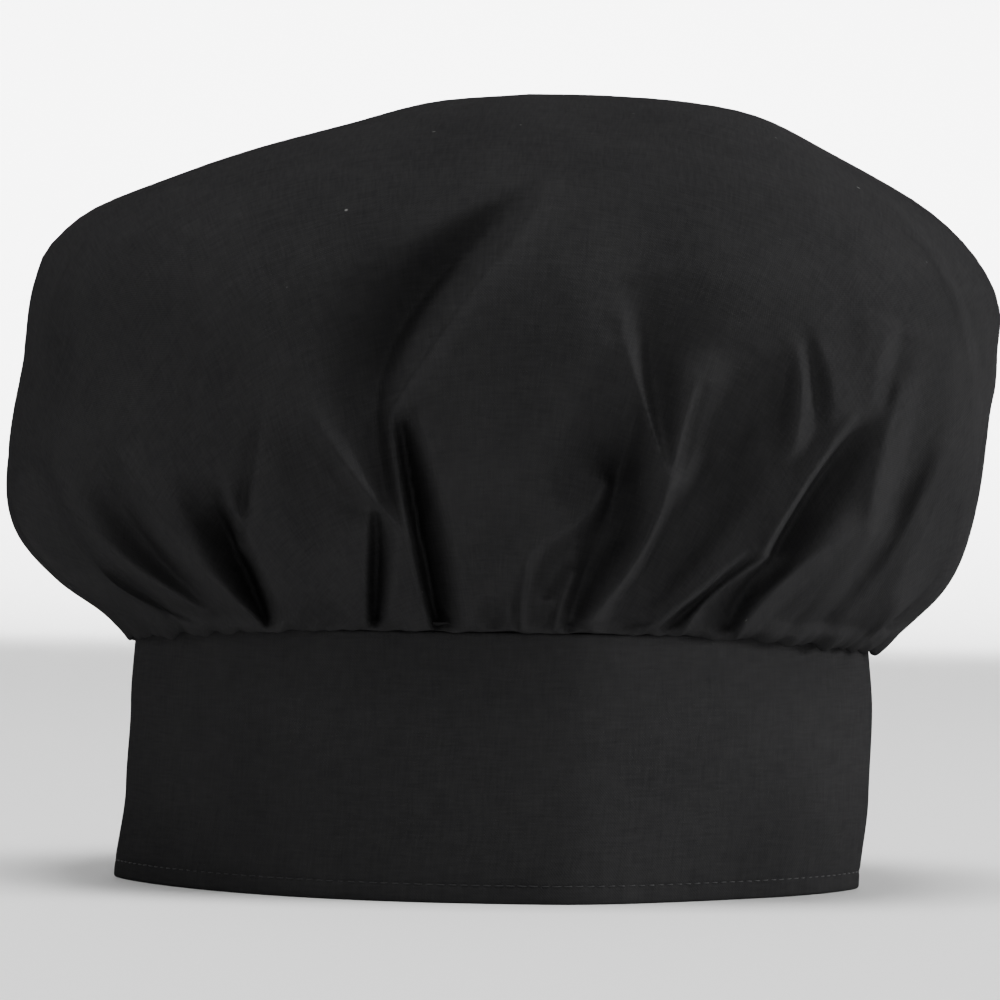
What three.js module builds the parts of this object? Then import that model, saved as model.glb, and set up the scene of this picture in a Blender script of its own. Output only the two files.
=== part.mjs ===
// A soft chef hat of black poplin, standing on the lower edge of its band.
//
// The band is one long strip of folded cloth, bent round into a slightly pointed oval. Its ends lap at the
// back, where one plain patch of hook-and-loop tape holds them. The crown is one hollow bag of cloth. Its
// mouth is gathered to the band and turned down inside it, and above the band it puffs out, hangs over the
// band a little at the sides, and falls in folds that fan up from the seam.
//
// Lengths are in millimetres, +X is to the right as seen from the front, -Y is the front and +Z is up.
// The hat stands on z = 0.

import * as THREE from "three";

// Driving dimensions: the band
const BAND_HEIGHT = 76;
const BAND_WIDTH = 220; // outside, side to side, at the widest
const BAND_DEPTH = 160; // outside, front to back
const BAND_WALL = 2.2; // cloth folded double over its stiffening
const BAND_LAP = 46; // how far the flap runs over the other end at the back

// Driving dimensions: the tape patch between the lapped ends
const TAPE_THICKNESS = 1.6;
const TAPE_WIDTH = 32;
const TAPE_HEIGHT = 54;

// Driving dimensions: the crown
const CROWN_WIDTH = 291;
const CROWN_DEPTH = 214;
const CROWN_RISE = 157; // from the band's top edge to the top of the crown
const CROWN_WALL = 1.2;
const SEAM_ALLOWANCE = 9; // the gathered edge turned down inside the band
const SEAM_GAP = 0.6; // between that edge and the band's inner face
const GATHER_DEPTH = 0.9;

const CLEARANCE = 0.3; // between pieces that touch on the real hat

// The folds are charted as seen from a little way off, at about the height of the seam.
const VIEW_DISTANCE = 1500;
const EYE_HEIGHT = 113;
const FOLD_DEPTH = 20; // how far in the deepest folds lie
const FOLD_REACH = 20; // how far to each side a broad fold bends the cloth
const FOLD_ROOM = 6; // how far above the band's edge the folds reach their full depth

const CLOTH = new THREE.MeshStandardMaterial({ color: 0x232325, roughness: 0.9, metalness: 0 });
const TAPE_NYLON = new THREE.MeshStandardMaterial({ color: 0x161617, roughness: 0.8, metalness: 0 });

const FULL_TURN = 2 * Math.PI;
const DEGREE = Math.PI / 180;

// Small helpers
const mix = (from, to, share) => from + (to - from) * share;

function smoothStep(from, to, value) {
  const share = Math.min(1, Math.max(0, (value - from) / (to - from)));
  return share * share * (3 - 2 * share);
}

// A value of a table of rows at a place between two rows, on a smooth curve through them all.
function alongRows(rows, valueOf, place) {
  const last = rows.length - 1;
  const row = Math.min(last - 1, Math.max(0, Math.floor(place)));
  const at = (index) => valueOf(rows[Math.min(last, Math.max(0, index))]);
  const share = place - row;
  const startSlope = (at(row + 1) - at(row - 1)) / 2;
  const endSlope = (at(row + 2) - at(row)) / 2;
  const rise = at(row + 1) - at(row);
  const bend = 3 * rise - 2 * startSlope - endSlope + share * (startSlope + endSlope - 2 * rise);
  return at(row) + share * (startSlope + share * bend);
}

// The band's plan

// Seen from above the band is an oval with a soft point at each side, where the cloth was folded flat.
const SIDE_SHARPNESS = 2.6; // 2 would be a round oval's front
const POINT_SHARPNESS = 1.25; // 2 would be a round oval's side
const FRONT_CORNER = 0.16; // how much the front falls back to the right of its soft corner
const FRONT_CORNER_FROM = 0.16;
const FRONT_CORNER_TO = 0.74;
const FRONT_SLANT = 0.1; // how much it has fallen back at the left end

// How the band leans and narrows with height. Level is a share of its height, and shift and size are shares
// of its half width.
const BAND_SECTIONS = [
  { level: 0, shift: -0.015, size: 1 },
  { level: 0.36, shift: 0.008, size: 0.998 },
  { level: 0.68, shift: 0.016, size: 0.994 },
  { level: 1, shift: 0.016, size: 0.982 },
];

function bandSection(column, height) {
  const level = Math.min(1, Math.max(0, height / BAND_HEIGHT));
  const above = Math.max(1, BAND_SECTIONS.findIndex((section) => section.level >= level));
  const [low, high] = [BAND_SECTIONS[above - 1], BAND_SECTIONS[above]];
  return mix(low[column], high[column], smoothStep(low.level, high.level, level));
}

// The band's outer face seen from above, without the lean. The angle is measured as on a squashed circle.
function plainRing(angle) {
  const across = Math.cos(angle);
  const roundness = Math.max(0, 1 - Math.abs(across) ** SIDE_SHARPNESS) ** (1 / POINT_SHARPNESS);
  const toRight = FRONT_CORNER * smoothStep(FRONT_CORNER_FROM, FRONT_CORNER_TO, across);
  const toLeft = FRONT_SLANT * smoothStep(FRONT_CORNER_FROM, -1, across);
  const deep = Math.sin(angle) < 0 ? -roundness * (1 - toRight - toLeft) : roundness;
  return new THREE.Vector2((across * BAND_WIDTH) / 2, (deep * BAND_DEPTH) / 2);
}

// A point of the ring at an angle and height, moved outward by a distance.
function ringPoint(angle, height, outward) {
  const step = 0.02;
  const size = bandSection("size", height);
  const shift = (bandSection("shift", height) * BAND_WIDTH) / 2;
  const before = plainRing(angle - step);
  const along = plainRing(angle + step).sub(before).normalize();
  const middle = plainRing(angle).multiplyScalar(size);
  return new THREE.Vector3(middle.x + shift + along.y * outward, middle.y - along.x * outward, height);
}

// Meshes from rows of points

// A closed mesh from loops of points, each loop as long as the next or twice as long. Faces look outward
// where the loops run anticlockwise and follow each other downward.
class LoopMesh {
  constructor() {
    this.positions = [];
    this.faces = [];
  }

  addLoop(points) {
    const first = this.positions.length / 3;
    for (const point of points) this.positions.push(point.x, point.y, point.z);
    return Array.from(points, (_, index) => first + index);
  }

  addPoint(point) {
    return this.addLoop([point])[0];
  }

  addTriangle(a, b, c, turned) {
    if (turned) this.faces.push(a, c, b);
    else this.faces.push(a, b, c);
  }

  // Joins a lower loop to an upper one, which has as many points or half as many.
  joinLoops(lower, upper, turned = false, closed = true) {
    const steps = closed ? upper.length : upper.length - 1;
    const halved = lower.length === 2 * upper.length;
    for (let index = 0; index < steps; index += 1) {
      const next = (index + 1) % upper.length;
      if (halved) {
        const [a, b, c] = [2 * index, 2 * index + 1, (2 * index + 2) % lower.length];
        this.addTriangle(lower[a], lower[b], upper[index], turned);
        this.addTriangle(lower[b], upper[next], upper[index], turned);
        this.addTriangle(lower[b], lower[c], upper[next], turned);
      } else {
        this.addTriangle(lower[index], lower[next], upper[next], turned);
        this.addTriangle(lower[index], upper[next], upper[index], turned);
      }
    }
  }

  joinToPoint(lower, point, turned = false) {
    for (let index = 0; index < lower.length; index += 1) {
      this.addTriangle(lower[index], lower[(index + 1) % lower.length], point, turned);
    }
  }

  geometry() {
    const geometry = new THREE.BufferGeometry();
    geometry.setAttribute("position", new THREE.Float32BufferAttribute(this.positions, 3));
    geometry.setIndex(this.faces);
    geometry.computeVertexNormals();
    return geometry;
  }
}

// The band and its tape

// the flap lies outside the other end and the tape
const FLAP_LIFT = BAND_WALL + TAPE_THICKNESS + 2 * CLEARANCE;
const FLAP_RAMP = 36; // the length over which the flap moves outward before the lap
const BAND_STEPS = 80;
const TAPE_STEPS = 6;

// The angle at which the ring's back has a given distance to the right of its middle.
const backAngle = (across) => Math.acos(across / (BAND_WIDTH / 2));

// How far outside the ring the strip lies at an angle, counted on from the inner end.
function flapLift(angle) {
  const rampStart = FULL_TURN + backAngle(BAND_LAP / 2 + FLAP_RAMP);
  const rampEnd = FULL_TURN + backAngle(BAND_LAP / 2 + CLEARANCE);
  return FLAP_LIFT * smoothStep(rampStart, rampEnd, angle);
}

// A strip that follows the ring from one angle to another, between two heights and two faces.
function stripGeometry({ fromAngle, toAngle, steps, levels, innerFace, outerFace }) {
  const mesh = new LoopMesh();
  const sections = [];
  for (let step = 0; step <= steps; step += 1) {
    const angle = mix(fromAngle, toAngle, step / steps);
    const outer = levels.map((height) => ringPoint(angle, height, outerFace(angle)));
    const inner = [...levels].reverse().map((height) => ringPoint(angle, height, innerFace(angle)));
    sections.push(mesh.addLoop([...outer, ...inner]));
  }
  for (let step = 0; step < steps; step += 1) {
    mesh.joinLoops(sections[step], sections[step + 1], true);
  }
  const count = levels.length;
  for (const [section, turned] of [
    [sections[0], true],
    [sections[steps], false],
  ]) {
    for (let level = 0; level < count - 1; level += 1) {
      const [outerLow, outerHigh] = [section[level], section[level + 1]];
      const [innerLow, innerHigh] = [section[2 * count - 1 - level], section[2 * count - 2 - level]];
      mesh.addTriangle(outerLow, innerLow, innerHigh, turned);
      mesh.addTriangle(outerLow, innerHigh, outerHigh, turned);
    }
  }
  return mesh.geometry();
}

function bandGeometry() {
  return stripGeometry({
    fromAngle: backAngle(BAND_LAP / 2),
    toAngle: FULL_TURN + backAngle(-BAND_LAP / 2),
    steps: BAND_STEPS,
    levels: BAND_SECTIONS.map((section) => section.level * BAND_HEIGHT),
    innerFace: (angle) => flapLift(angle) - BAND_WALL,
    outerFace: flapLift,
  });
}

function tapeGeometry() {
  const margin = (BAND_HEIGHT - TAPE_HEIGHT) / 2;
  const bends = BAND_SECTIONS.map((section) => section.level * BAND_HEIGHT);
  const inside = bends.filter((height) => height > margin && height < BAND_HEIGHT - margin);
  return stripGeometry({
    fromAngle: backAngle(TAPE_WIDTH / 2),
    toAngle: backAngle(-TAPE_WIDTH / 2),
    steps: TAPE_STEPS,
    levels: [margin, ...inside, BAND_HEIGHT - margin],
    innerFace: () => CLEARANCE,
    outerFace: () => CLEARANCE + TAPE_THICKNESS,
  });
}

// The crown's plain form

// One row for each level of the crown, from the band's top edge to the top of the hat. Own is how far the
// level has left the band's oval for the crown's own. Reach and rise are each given to the right, left, front
// and back, reach in shares of half the crown's width or depth, and rise in shares of the crown's rise.
const CROWN_SECTIONS = [
  { own: 0, reach: [1, 1, 1, 1], rise: [0.004, 0.004, 0.004, 0.004] },
  { own: 0.1, reach: [0.94, 0.85, 0.98, 1.29], rise: [-0.039, -0.034, 0.01, 0.019] },
  { own: 0.38, reach: [0.935, 0.915, 0.91, 1], rise: [0.003, 0.015, 0.045, 0.054] },
  { own: 0.68, reach: [0.965, 0.965, 0.91, 0.96], rise: [0.079, 0.073, 0.115, 0.118] },
  { own: 0.9, reach: [0.975, 1, 0.925, 0.95], rise: [0.192, 0.167, 0.21, 0.217] },
  { own: 1, reach: [0.99, 0.995, 0.95, 0.965], rise: [0.357, 0.293, 0.35, 0.35] },
  { own: 1, reach: [1.01, 0.965, 0.975, 0.975], rise: [0.522, 0.471, 0.516, 0.503] },
  { own: 1, reach: [1, 0.95, 0.955, 0.935], rise: [0.646, 0.624, 0.656, 0.643] },
  { own: 1, reach: [0.855, 0.88, 0.84, 0.83], rise: [0.787, 0.742, 0.771, 0.758] },
  { own: 1, reach: [0.615, 0.69, 0.655, 0.645], rise: [0.906, 0.829, 0.866, 0.854] },
  { own: 1, reach: [0.425, 0.465, 0.45, 0.44], rise: [0.972, 0.902, 0.933, 0.927] },
  { own: 1, reach: [0.2, 0.24, 0.225, 0.225], rise: [0.994, 0.967, 0.979, 0.976] },
  { own: 1, reach: [0, 0, 0, 0], rise: [1, 1, 1, 1] },
];
const [RIGHT, LEFT, FRONT, BACK] = [0, 1, 2, 3];
const TOP_LEVEL = CROWN_SECTIONS.length - 1;
const CROWN_FLATNESS = 3.2; // 2 would be a plain oval seen from above
const TOP_SHIFT = 0.05; // how far the top lies to the right, as a share of half the crown's width

function crownPlain(angle, level) {
  const [cosine, sine] = [Math.cos(angle), Math.sin(angle)];
  const side = cosine > 0 ? RIGHT : LEFT;
  const end = sine > 0 ? BACK : FRONT;
  const reachTo = (way) => alongRows(CROWN_SECTIONS, (section) => section.reach[way], level);
  const riseAt = (way) => alongRows(CROWN_SECTIONS, (section) => section.rise[way], level);
  const own = alongRows(CROWN_SECTIONS, (section) => section.own, level);
  const lean = TOP_SHIFT * smoothStep(TOP_LEVEL / 2, TOP_LEVEL, level);
  const bulge = Math.sign(sine) * Math.sqrt(1 - Math.abs(cosine) ** CROWN_FLATNESS);
  const ownX = (CROWN_WIDTH / 2) * (reachTo(side) * cosine + lean);
  const ownY = (CROWN_DEPTH / 2) * reachTo(end) * bulge;
  const ring = ringPoint(angle, BAND_HEIGHT, CLEARANCE);
  const rise = mix(riseAt(end), riseAt(side), cosine ** 2);
  return new THREE.Vector3(mix(ring.x, ownX, own), mix(ring.y, ownY, own), BAND_HEIGHT + rise * CROWN_RISE);
}

// The crown's folds

// Each row is a line along the crest or the bottom of one fold, as it is seen from that side of the hat. It
// runs from its foot, past its bend, to its tip, and each of these is [across, up, out]. Across is a share of
// half the crown's width, or of half its depth for a side, and up is a share of the crown's rise, from the
// band's top edge. Out is how far the cloth stands out there, as a share of the deepest folds, below zero
// where it lies in. Soft is how gently the cloth turns at the line and reach is how far from it the cloth
// still follows it, both shares of the folds' own reach.
const FRONT_FOLDS = [
  { foot: [-0.59, 0.02, 0.17], bend: [-0.77, 0.13, 0.4], tip: [-0.94, 0.27, 0.15], soft: 0.05, reach: 0.7 },
  { foot: [-0.58, -0.02, -0.35], bend: [-0.76, 0.09, -0.9], tip: [-0.92, 0.22, -0.25], soft: 0.1, reach: 0.8 },
  { foot: [-0.48, 0, 0.17], bend: [-0.64, 0.15, 0.4], tip: [-0.77, 0.32, 0.07], soft: 0.05, reach: 0.7 },
  { foot: [-0.53, 0, -0.25], bend: [-0.71, 0.14, -0.7], tip: [-0.82, 0.34, -0.15], soft: 0.15, reach: 0.8 },
  { foot: [-0.46, -0.02, -0.45], bend: [-0.53, 0.12, -0.8], tip: [-0.58, 0.22, -0.3], soft: 0.05, reach: 0.4 },
  { foot: [-0.41, -0.03, 0.05], bend: [-0.48, 0.11, 0.12], tip: [-0.54, 0.23, 0.07], soft: 0.05, reach: 0.6 },
  { foot: [-0.52, 0.15, -0.15], bend: [-0.51, 0.27, -0.3], tip: [-0.49, 0.42, 0], soft: 0.05, reach: 0.4 },
  { foot: [-0.25, 0.19, -0.3], bend: [-0.35, 0.27, -0.45], tip: [-0.43, 0.37, -0.07], soft: 0.2, reach: 0.9 },
  { foot: [-0.19, 0.16, 0.2], bend: [-0.28, 0.27, 0.28], tip: [-0.4, 0.41, 0.05], soft: 0.05, reach: 0.8 },
  { foot: [-0.25, -0.02, -0.4], bend: [-0.25, 0.08, -0.75], tip: [-0.25, 0.2, -0.35], soft: 0.06, reach: 0.5 },
  { foot: [-0.13, -0.02, 0.15], bend: [-0.19, 0.19, 0.25], tip: [-0.22, 0.39, 0.1], soft: 0.05, reach: 0.6 },
  { foot: [-0.12, -0.02, -0.55], bend: [-0.17, 0.2, -0.95], tip: [-0.2, 0.37, -0.3], soft: 0.05, reach: 0.5 },
  { foot: [-0.06, 0, 0.03], bend: [-0.1, 0.2, 0.07], tip: [-0.17, 0.39, 0.07], soft: 0.05, reach: 0.6 },
  { foot: [-0.25, 0.42, -0.65], bend: [-0.17, 0.61, -0.9], tip: [0.05, 0.79, -0.3], soft: 0.17, reach: 1 },
  { foot: [-0.23, 0.23, -0.4], bend: [-0.24, 0.32, -0.55], tip: [-0.25, 0.42, -0.65], soft: 0.15, reach: 0.7 },
  { foot: [-0.22, 0.41, 0.2], bend: [-0.1, 0.57, 0.28], tip: [0.09, 0.81, 0.07], soft: 0.05, reach: 0.8 },
  { foot: [-0.2, 0.74, 0.05], bend: [-0.05, 0.81, 0.1], tip: [0.13, 0.84, 0.03], soft: 0.17, reach: 1 },
  { foot: [-0.09, 0.53, 0.07], bend: [0.06, 0.55, 0.11], tip: [0.22, 0.53, 0.07], soft: 0.28, reach: 1.1 },
  { foot: [0.05, -0.01, 0.15], bend: [0.05, 0.1, 0.2], tip: [0.1, 0.17, 0.15], soft: 0.05, reach: 0.5 },
  { foot: [0.1, 0.17, 0.15], bend: [0.17, 0.2, 0.1], tip: [0.22, 0.27, 0.03], soft: 0.05, reach: 0.5 },
  { foot: [0.22, 0.18, -0.75], bend: [0.24, 0.28, -0.85], tip: [0.28, 0.42, -0.15], soft: 0.07, reach: 0.7 },
  { foot: [0.15, -0.01, -0.45], bend: [0.17, 0.07, -0.65], tip: [0.22, 0.18, -0.75], soft: 0.1, reach: 0.6 },
  { foot: [0.34, 0.28, 0.25], bend: [0.31, 0.4, 0.23], tip: [0.24, 0.57, 0.05], soft: 0.05, reach: 0.6 },
  { foot: [0.34, 0.28, 0.25], bend: [0.37, 0.37, 0.2], tip: [0.4, 0.47, 0.03], soft: 0.05, reach: 0.5 },
  { foot: [0.19, 0.01, 0.15], bend: [0.3, 0.15, 0.3], tip: [0.34, 0.28, 0.25], soft: 0.05, reach: 0.7 },
  { foot: [0.34, 0.31, -0.15], bend: [0.34, 0.45, -0.55], tip: [0.31, 0.67, 0], soft: 0.17, reach: 0.9 },
  { foot: [0.25, 0.04, -0.3], bend: [0.4, 0.24, -0.75], tip: [0.56, 0.51, -0.1], soft: 0.2, reach: 1.2 },
  { foot: [0.3, 0.07, -0.25], bend: [0.34, 0.15, -0.4], tip: [0.38, 0.25, -0.3], soft: 0.1, reach: 0.6 },
  { foot: [0.59, 0.33, 0.05], bend: [0.61, 0.43, 0.23], tip: [0.6, 0.54, 0.03], soft: 0.05, reach: 0.5 },
  { foot: [0.55, 0.35, -0.25], bend: [0.57, 0.43, -0.35], tip: [0.58, 0.51, -0.05], soft: 0.15, reach: 0.6 },
  { foot: [0.64, 0.36, -0.07], bend: [0.64, 0.44, -0.2], tip: [0.62, 0.57, -0.01], soft: 0.12, reach: 0.5 },
  { foot: [0.54, 0.14, 0.25], bend: [0.62, 0.27, 0.4], tip: [0.72, 0.4, 0.1], soft: 0.05, reach: 0.7 },
  { foot: [0.56, 0.13, -0.55], bend: [0.64, 0.26, -0.8], tip: [0.73, 0.39, -0.15], soft: 0.05, reach: 0.6 },
  { foot: [0.48, -0.02, 0.15], bend: [0.58, 0.09, 0.3], tip: [0.75, 0.2, 0.05], soft: 0.05, reach: 0.7 },
  { foot: [0.52, -0.02, -0.2], bend: [0.62, 0.08, -0.4], tip: [0.74, 0.15, -0.2], soft: 0.12, reach: 0.7 },
  { foot: [0.3, -0.01, 0.1], bend: [0.39, 0.06, 0.15], tip: [0.51, 0.15, 0.1], soft: 0.05, reach: 0.4 },
  { foot: [0.32, -0.02, -0.3], bend: [0.42, 0.06, -0.45], tip: [0.53, 0.14, -0.1], soft: 0.05, reach: 0.4 },
  { foot: [0.47, -0.02, -0.4], bend: [0.49, 0.05, -0.65], tip: [0.55, 0.13, -0.5], soft: 0.06, reach: 0.5 },
  { foot: [0.75, 0.2, 0.25], bend: [0.77, 0.31, 0.35], tip: [0.82, 0.44, 0.1], soft: 0.07, reach: 0.7 },
  { foot: [0.74, 0.11, -0.3], bend: [0.82, 0.28, -0.7], tip: [0.87, 0.49, -0.15], soft: 0.25, reach: 1 },
  { foot: [0.76, -0.02, 0.2], bend: [0.87, 0.13, 0.45], tip: [0.93, 0.3, 0.15], soft: 0.05, reach: 0.7 },
  { foot: [0.78, -0.01, -0.25], bend: [0.89, 0.11, -0.45], tip: [0.93, 0.22, -0.1], soft: 0.07, reach: 0.5 },
  { foot: [0.79, 0.44, -0.1], bend: [0.8, 0.5, -0.3], tip: [0.82, 0.56, 0], soft: 0.08, reach: 0.45 },
  { foot: [0.96, 0.36, 0.03], bend: [0.91, 0.64, 0.15], tip: [0.75, 0.83, 0.03], soft: 0.05, reach: 0.6 },
  { foot: [0.98, 0.38, -0.1], bend: [0.95, 0.63, -0.45], tip: [0.8, 0.83, -0.1], soft: 0.06, reach: 0.5 },
  { foot: [-0.9, 0.54, 0.03], bend: [-0.86, 0.67, 0.07], tip: [-0.79, 0.76, 0.01], soft: 0.05, reach: 0.5 },
  { foot: [-0.94, 0.46, -0.05], bend: [-0.89, 0.66, -0.3], tip: [-0.81, 0.76, -0.05], soft: 0.1, reach: 0.5 },
];

const RIGHT_FOLDS = [
  { foot: [-0.44, 0, -0.15], bend: [-0.5, 0.14, -0.3], tip: [-0.6, 0.34, 0], soft: 0.15, reach: 0.9 },
  { foot: [-0.3, 0, 0.04], bend: [-0.34, 0.17, 0.07], tip: [-0.36, 0.42, 0.01], soft: 0.1, reach: 0.7 },
  { foot: [-0.17, 0, -0.25], bend: [-0.22, 0.2, -0.45], tip: [-0.1, 0.47, -0.03], soft: 0.15, reach: 0.9 },
  { foot: [-0.04, 0, 0.04], bend: [-0.03, 0.16, 0.07], tip: [0.02, 0.37, 0.01], soft: 0.07, reach: 0.7 },
  { foot: [0.1, -0.01, -0.25], bend: [0.16, 0.13, -0.35], tip: [0.12, 0.31, -0.05], soft: 0.1, reach: 0.9 },
  { foot: [0.19, 0, 0.03], bend: [0.27, 0.16, 0.07], tip: [0.27, 0.4, 0.01], soft: 0.07, reach: 0.7 },
  { foot: [0.33, 0, -0.3], bend: [0.42, 0.2, -0.45], tip: [0.5, 0.53, -0.03], soft: 0.2, reach: 0.9 },
  { foot: [0.46, 0, 0.04], bend: [0.58, 0.18, 0.07], tip: [0.7, 0.4, 0.01], soft: 0.1, reach: 0.7 },
  { foot: [-0.06, 0.6, -0.05], bend: [0.12, 0.77, -0.3], tip: [0.42, 0.86, 0], soft: 0.3, reach: 1.2 },
  { foot: [0, 0.57, 0.01], bend: [0.2, 0.72, 0.05], tip: [0.46, 0.8, 0.01], soft: 0.15, reach: 0.7 },
];

const LEFT_FOLDS = [
  { foot: [-0.4, 0, -0.25], bend: [-0.5, 0.16, -0.4], tip: [-0.52, 0.43, -0.03], soft: 0.2, reach: 0.9 },
  { foot: [-0.26, 0, 0.02], bend: [-0.34, 0.16, 0.04], tip: [-0.37, 0.38, 0.01], soft: 0.07, reach: 0.7 },
  { foot: [-0.13, -0.01, -0.25], bend: [-0.2, 0.14, -0.35], tip: [-0.3, 0.32, -0.05], soft: 0.1, reach: 0.9 },
  { foot: [-0.02, 0, 0.02], bend: [-0.03, 0.18, 0.04], tip: [-0.12, 0.42, 0.01], soft: 0.07, reach: 0.7 },
  { foot: [0.12, 0, -0.25], bend: [0.14, 0.2, -0.45], tip: [0, 0.5, -0.03], soft: 0.15, reach: 0.9 },
  { foot: [0.24, 0, 0.02], bend: [0.3, 0.18, 0.04], tip: [0.24, 0.46, 0.01], soft: 0.1, reach: 0.7 },
  { foot: [0.37, 0, -0.2], bend: [0.45, 0.12, -0.3], tip: [0.56, 0.3, -0.03], soft: 0.12, reach: 0.9 },
  { foot: [0.48, 0, 0.01], bend: [0.6, 0.14, 0.04], tip: [0.72, 0.3, 0.01], soft: 0.1, reach: 0.7 },
  { foot: [-0.3, 0.66, -0.05], bend: [-0.05, 0.78, -0.3], tip: [0.3, 0.8, 0], soft: 0.3, reach: 1.2 },
  { foot: [-0.22, 0.6, 0.01], bend: [0, 0.7, 0.03], tip: [0.3, 0.72, 0], soft: 0.15, reach: 0.7 },
];

const BACK_FOLDS = [
  { foot: [-0.75, 0.02, -0.15], bend: [-0.84, 0.14, -0.25], tip: [-0.9, 0.3, -0.03], soft: 0.15, reach: 0.9 },
  { foot: [-0.68, 0, 0.07], bend: [-0.8, 0.16, 0.15], tip: [-0.86, 0.36, 0.03], soft: 0.07, reach: 0.7 },
  { foot: [-0.6, 0, -0.25], bend: [-0.72, 0.18, -0.4], tip: [-0.76, 0.46, -0.03], soft: 0.15, reach: 0.9 },
  { foot: [-0.54, 0, 0.07], bend: [-0.63, 0.14, 0.15], tip: [-0.64, 0.34, 0.03], soft: 0.07, reach: 0.7 },
  { foot: [-0.47, 0, -0.25], bend: [-0.52, 0.11, -0.33], tip: [-0.57, 0.24, -0.05], soft: 0.1, reach: 0.9 },
  { foot: [-0.41, 0, 0.07], bend: [-0.46, 0.18, 0.15], tip: [-0.47, 0.44, 0.03], soft: 0.07, reach: 0.7 },
  { foot: [-0.34, 0, -0.3], bend: [-0.4, 0.24, -0.5], tip: [-0.3, 0.6, -0.03], soft: 0.2, reach: 0.9 },
  { foot: [-0.27, 0, 0.07], bend: [-0.3, 0.2, 0.15], tip: [-0.17, 0.56, 0.05], soft: 0.07, reach: 0.7 },
  { foot: [-0.19, -0.01, -0.25], bend: [-0.2, 0.09, -0.35], tip: [-0.24, 0.22, -0.05], soft: 0.07, reach: 0.9 },
  { foot: [-0.12, 0, 0.07], bend: [-0.15, 0.16, 0.15], tip: [-0.1, 0.38, 0.03], soft: 0.07, reach: 0.7 },
  { foot: [-0.06, 0, -0.3], bend: [-0.09, 0.2, -0.5], tip: [0.03, 0.46, -0.03], soft: 0.12, reach: 0.9 },
  { foot: [0.02, 0, 0.07], bend: [0.02, 0.16, 0.15], tip: [0.1, 0.36, 0.03], soft: 0.07, reach: 0.7 },
  { foot: [0.09, 0, -0.25], bend: [0.12, 0.11, -0.3], tip: [0.13, 0.26, -0.05], soft: 0.1, reach: 0.9 },
  { foot: [0.16, 0, 0.07], bend: [0.2, 0.2, 0.15], tip: [0.17, 0.5, 0.03], soft: 0.07, reach: 0.7 },
  { foot: [0.23, 0, -0.3], bend: [0.3, 0.28, -0.5], tip: [0.22, 0.7, -0.03], soft: 0.25, reach: 1.2 },
  { foot: [0.31, 0, 0.07], bend: [0.38, 0.18, 0.15], tip: [0.38, 0.44, 0.03], soft: 0.07, reach: 0.7 },
  { foot: [0.38, -0.01, -0.25], bend: [0.44, 0.11, -0.35], tip: [0.48, 0.28, -0.05], soft: 0.07, reach: 0.9 },
  { foot: [0.45, 0, 0.07], bend: [0.54, 0.18, 0.15], tip: [0.58, 0.4, 0.03], soft: 0.07, reach: 0.7 },
  { foot: [0.52, 0, -0.25], bend: [0.64, 0.2, -0.4], tip: [0.67, 0.48, -0.03], soft: 0.15, reach: 0.9 },
  { foot: [0.59, 0, 0.07], bend: [0.72, 0.16, 0.15], tip: [0.78, 0.36, 0.03], soft: 0.07, reach: 0.7 },
  { foot: [0.66, 0, -0.2], bend: [0.78, 0.12, -0.3], tip: [0.86, 0.28, -0.03], soft: 0.1, reach: 0.9 },
  { foot: [-0.5, 0.66, 0], bend: [-0.2, 0.82, -0.2], tip: [0.06, 0.86, 0], soft: 0.4, reach: 1.2 },
  { foot: [0.3, 0.84, 0], bend: [0.48, 0.76, -0.2], tip: [0.62, 0.6, 0], soft: 0.35, reach: 1.2 },
];

// The four sides that the folds are charted from. Turn is the angle of the hat's side that faces the viewer.
const SIDES = [
  { turn: 270 * DEGREE, half: CROWN_WIDTH / 2, folds: FRONT_FOLDS, seenFrom: 0.08, seenFull: 0.35 },
  { turn: 0, half: CROWN_DEPTH / 2, folds: RIGHT_FOLDS, seenFrom: 0.6, seenFull: 0.85 },
  { turn: 90 * DEGREE, half: CROWN_WIDTH / 2, folds: BACK_FOLDS, seenFrom: 0.1, seenFull: 0.4 },
  { turn: 180 * DEGREE, half: CROWN_DEPTH / 2, folds: LEFT_FOLDS, seenFrom: 0.6, seenFull: 0.85 },
];
const FOLD_STEPS = 14;
const SHARPEST_TURN = 7; // the least softness that the solid's columns can follow
const FREE_CLOTH = 16; // a line this near holds the cloth as firmly as the rest of the crown does
const FOLD_GRIP = 1.6; // how much more the nearest lines count than those farther off

function foldLine(fold, side) {
  const line = [];
  for (let step = 0; step <= FOLD_STEPS; step += 1) {
    const share = step / FOLD_STEPS;
    const [across, up, out] = [0, 1, 2].map(
      (axis) =>
        (1 - share) * (1 - 2 * share) * fold.foot[axis] +
        4 * share * (1 - share) * fold.bend[axis] +
        share * (2 * share - 1) * fold.tip[axis],
    );
    line.push({ place: new THREE.Vector2(across * side.half, up * CROWN_RISE), out: out * FOLD_DEPTH });
  }
  return line;
}

const CHARTS = SIDES.map((side) => ({
  ...side,
  folds: side.folds.map((fold) => ({
    line: foldLine(fold, side),
    softness: Math.max(SHARPEST_TURN, fold.soft * FOLD_REACH),
    reach: fold.reach * FOLD_REACH,
  })),
}));

// How near a fold's line passes to a place of the chart, and how far out the cloth stands there.
function nearestOnFold(fold, place) {
  let distance = Infinity;
  let out = 0;
  for (let step = 0; step < FOLD_STEPS; step += 1) {
    const [start, end] = [fold.line[step], fold.line[step + 1]];
    const way = end.place.clone().sub(start.place);
    const off = place.clone().sub(start.place);
    const share = Math.min(1, Math.max(0, off.dot(way) / way.lengthSq()));
    const away = off.sub(way.multiplyScalar(share)).length();
    if (away < distance) {
      distance = away;
      out = mix(start.out, end.out, share);
    }
  }
  return { distance, out };
}

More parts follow.
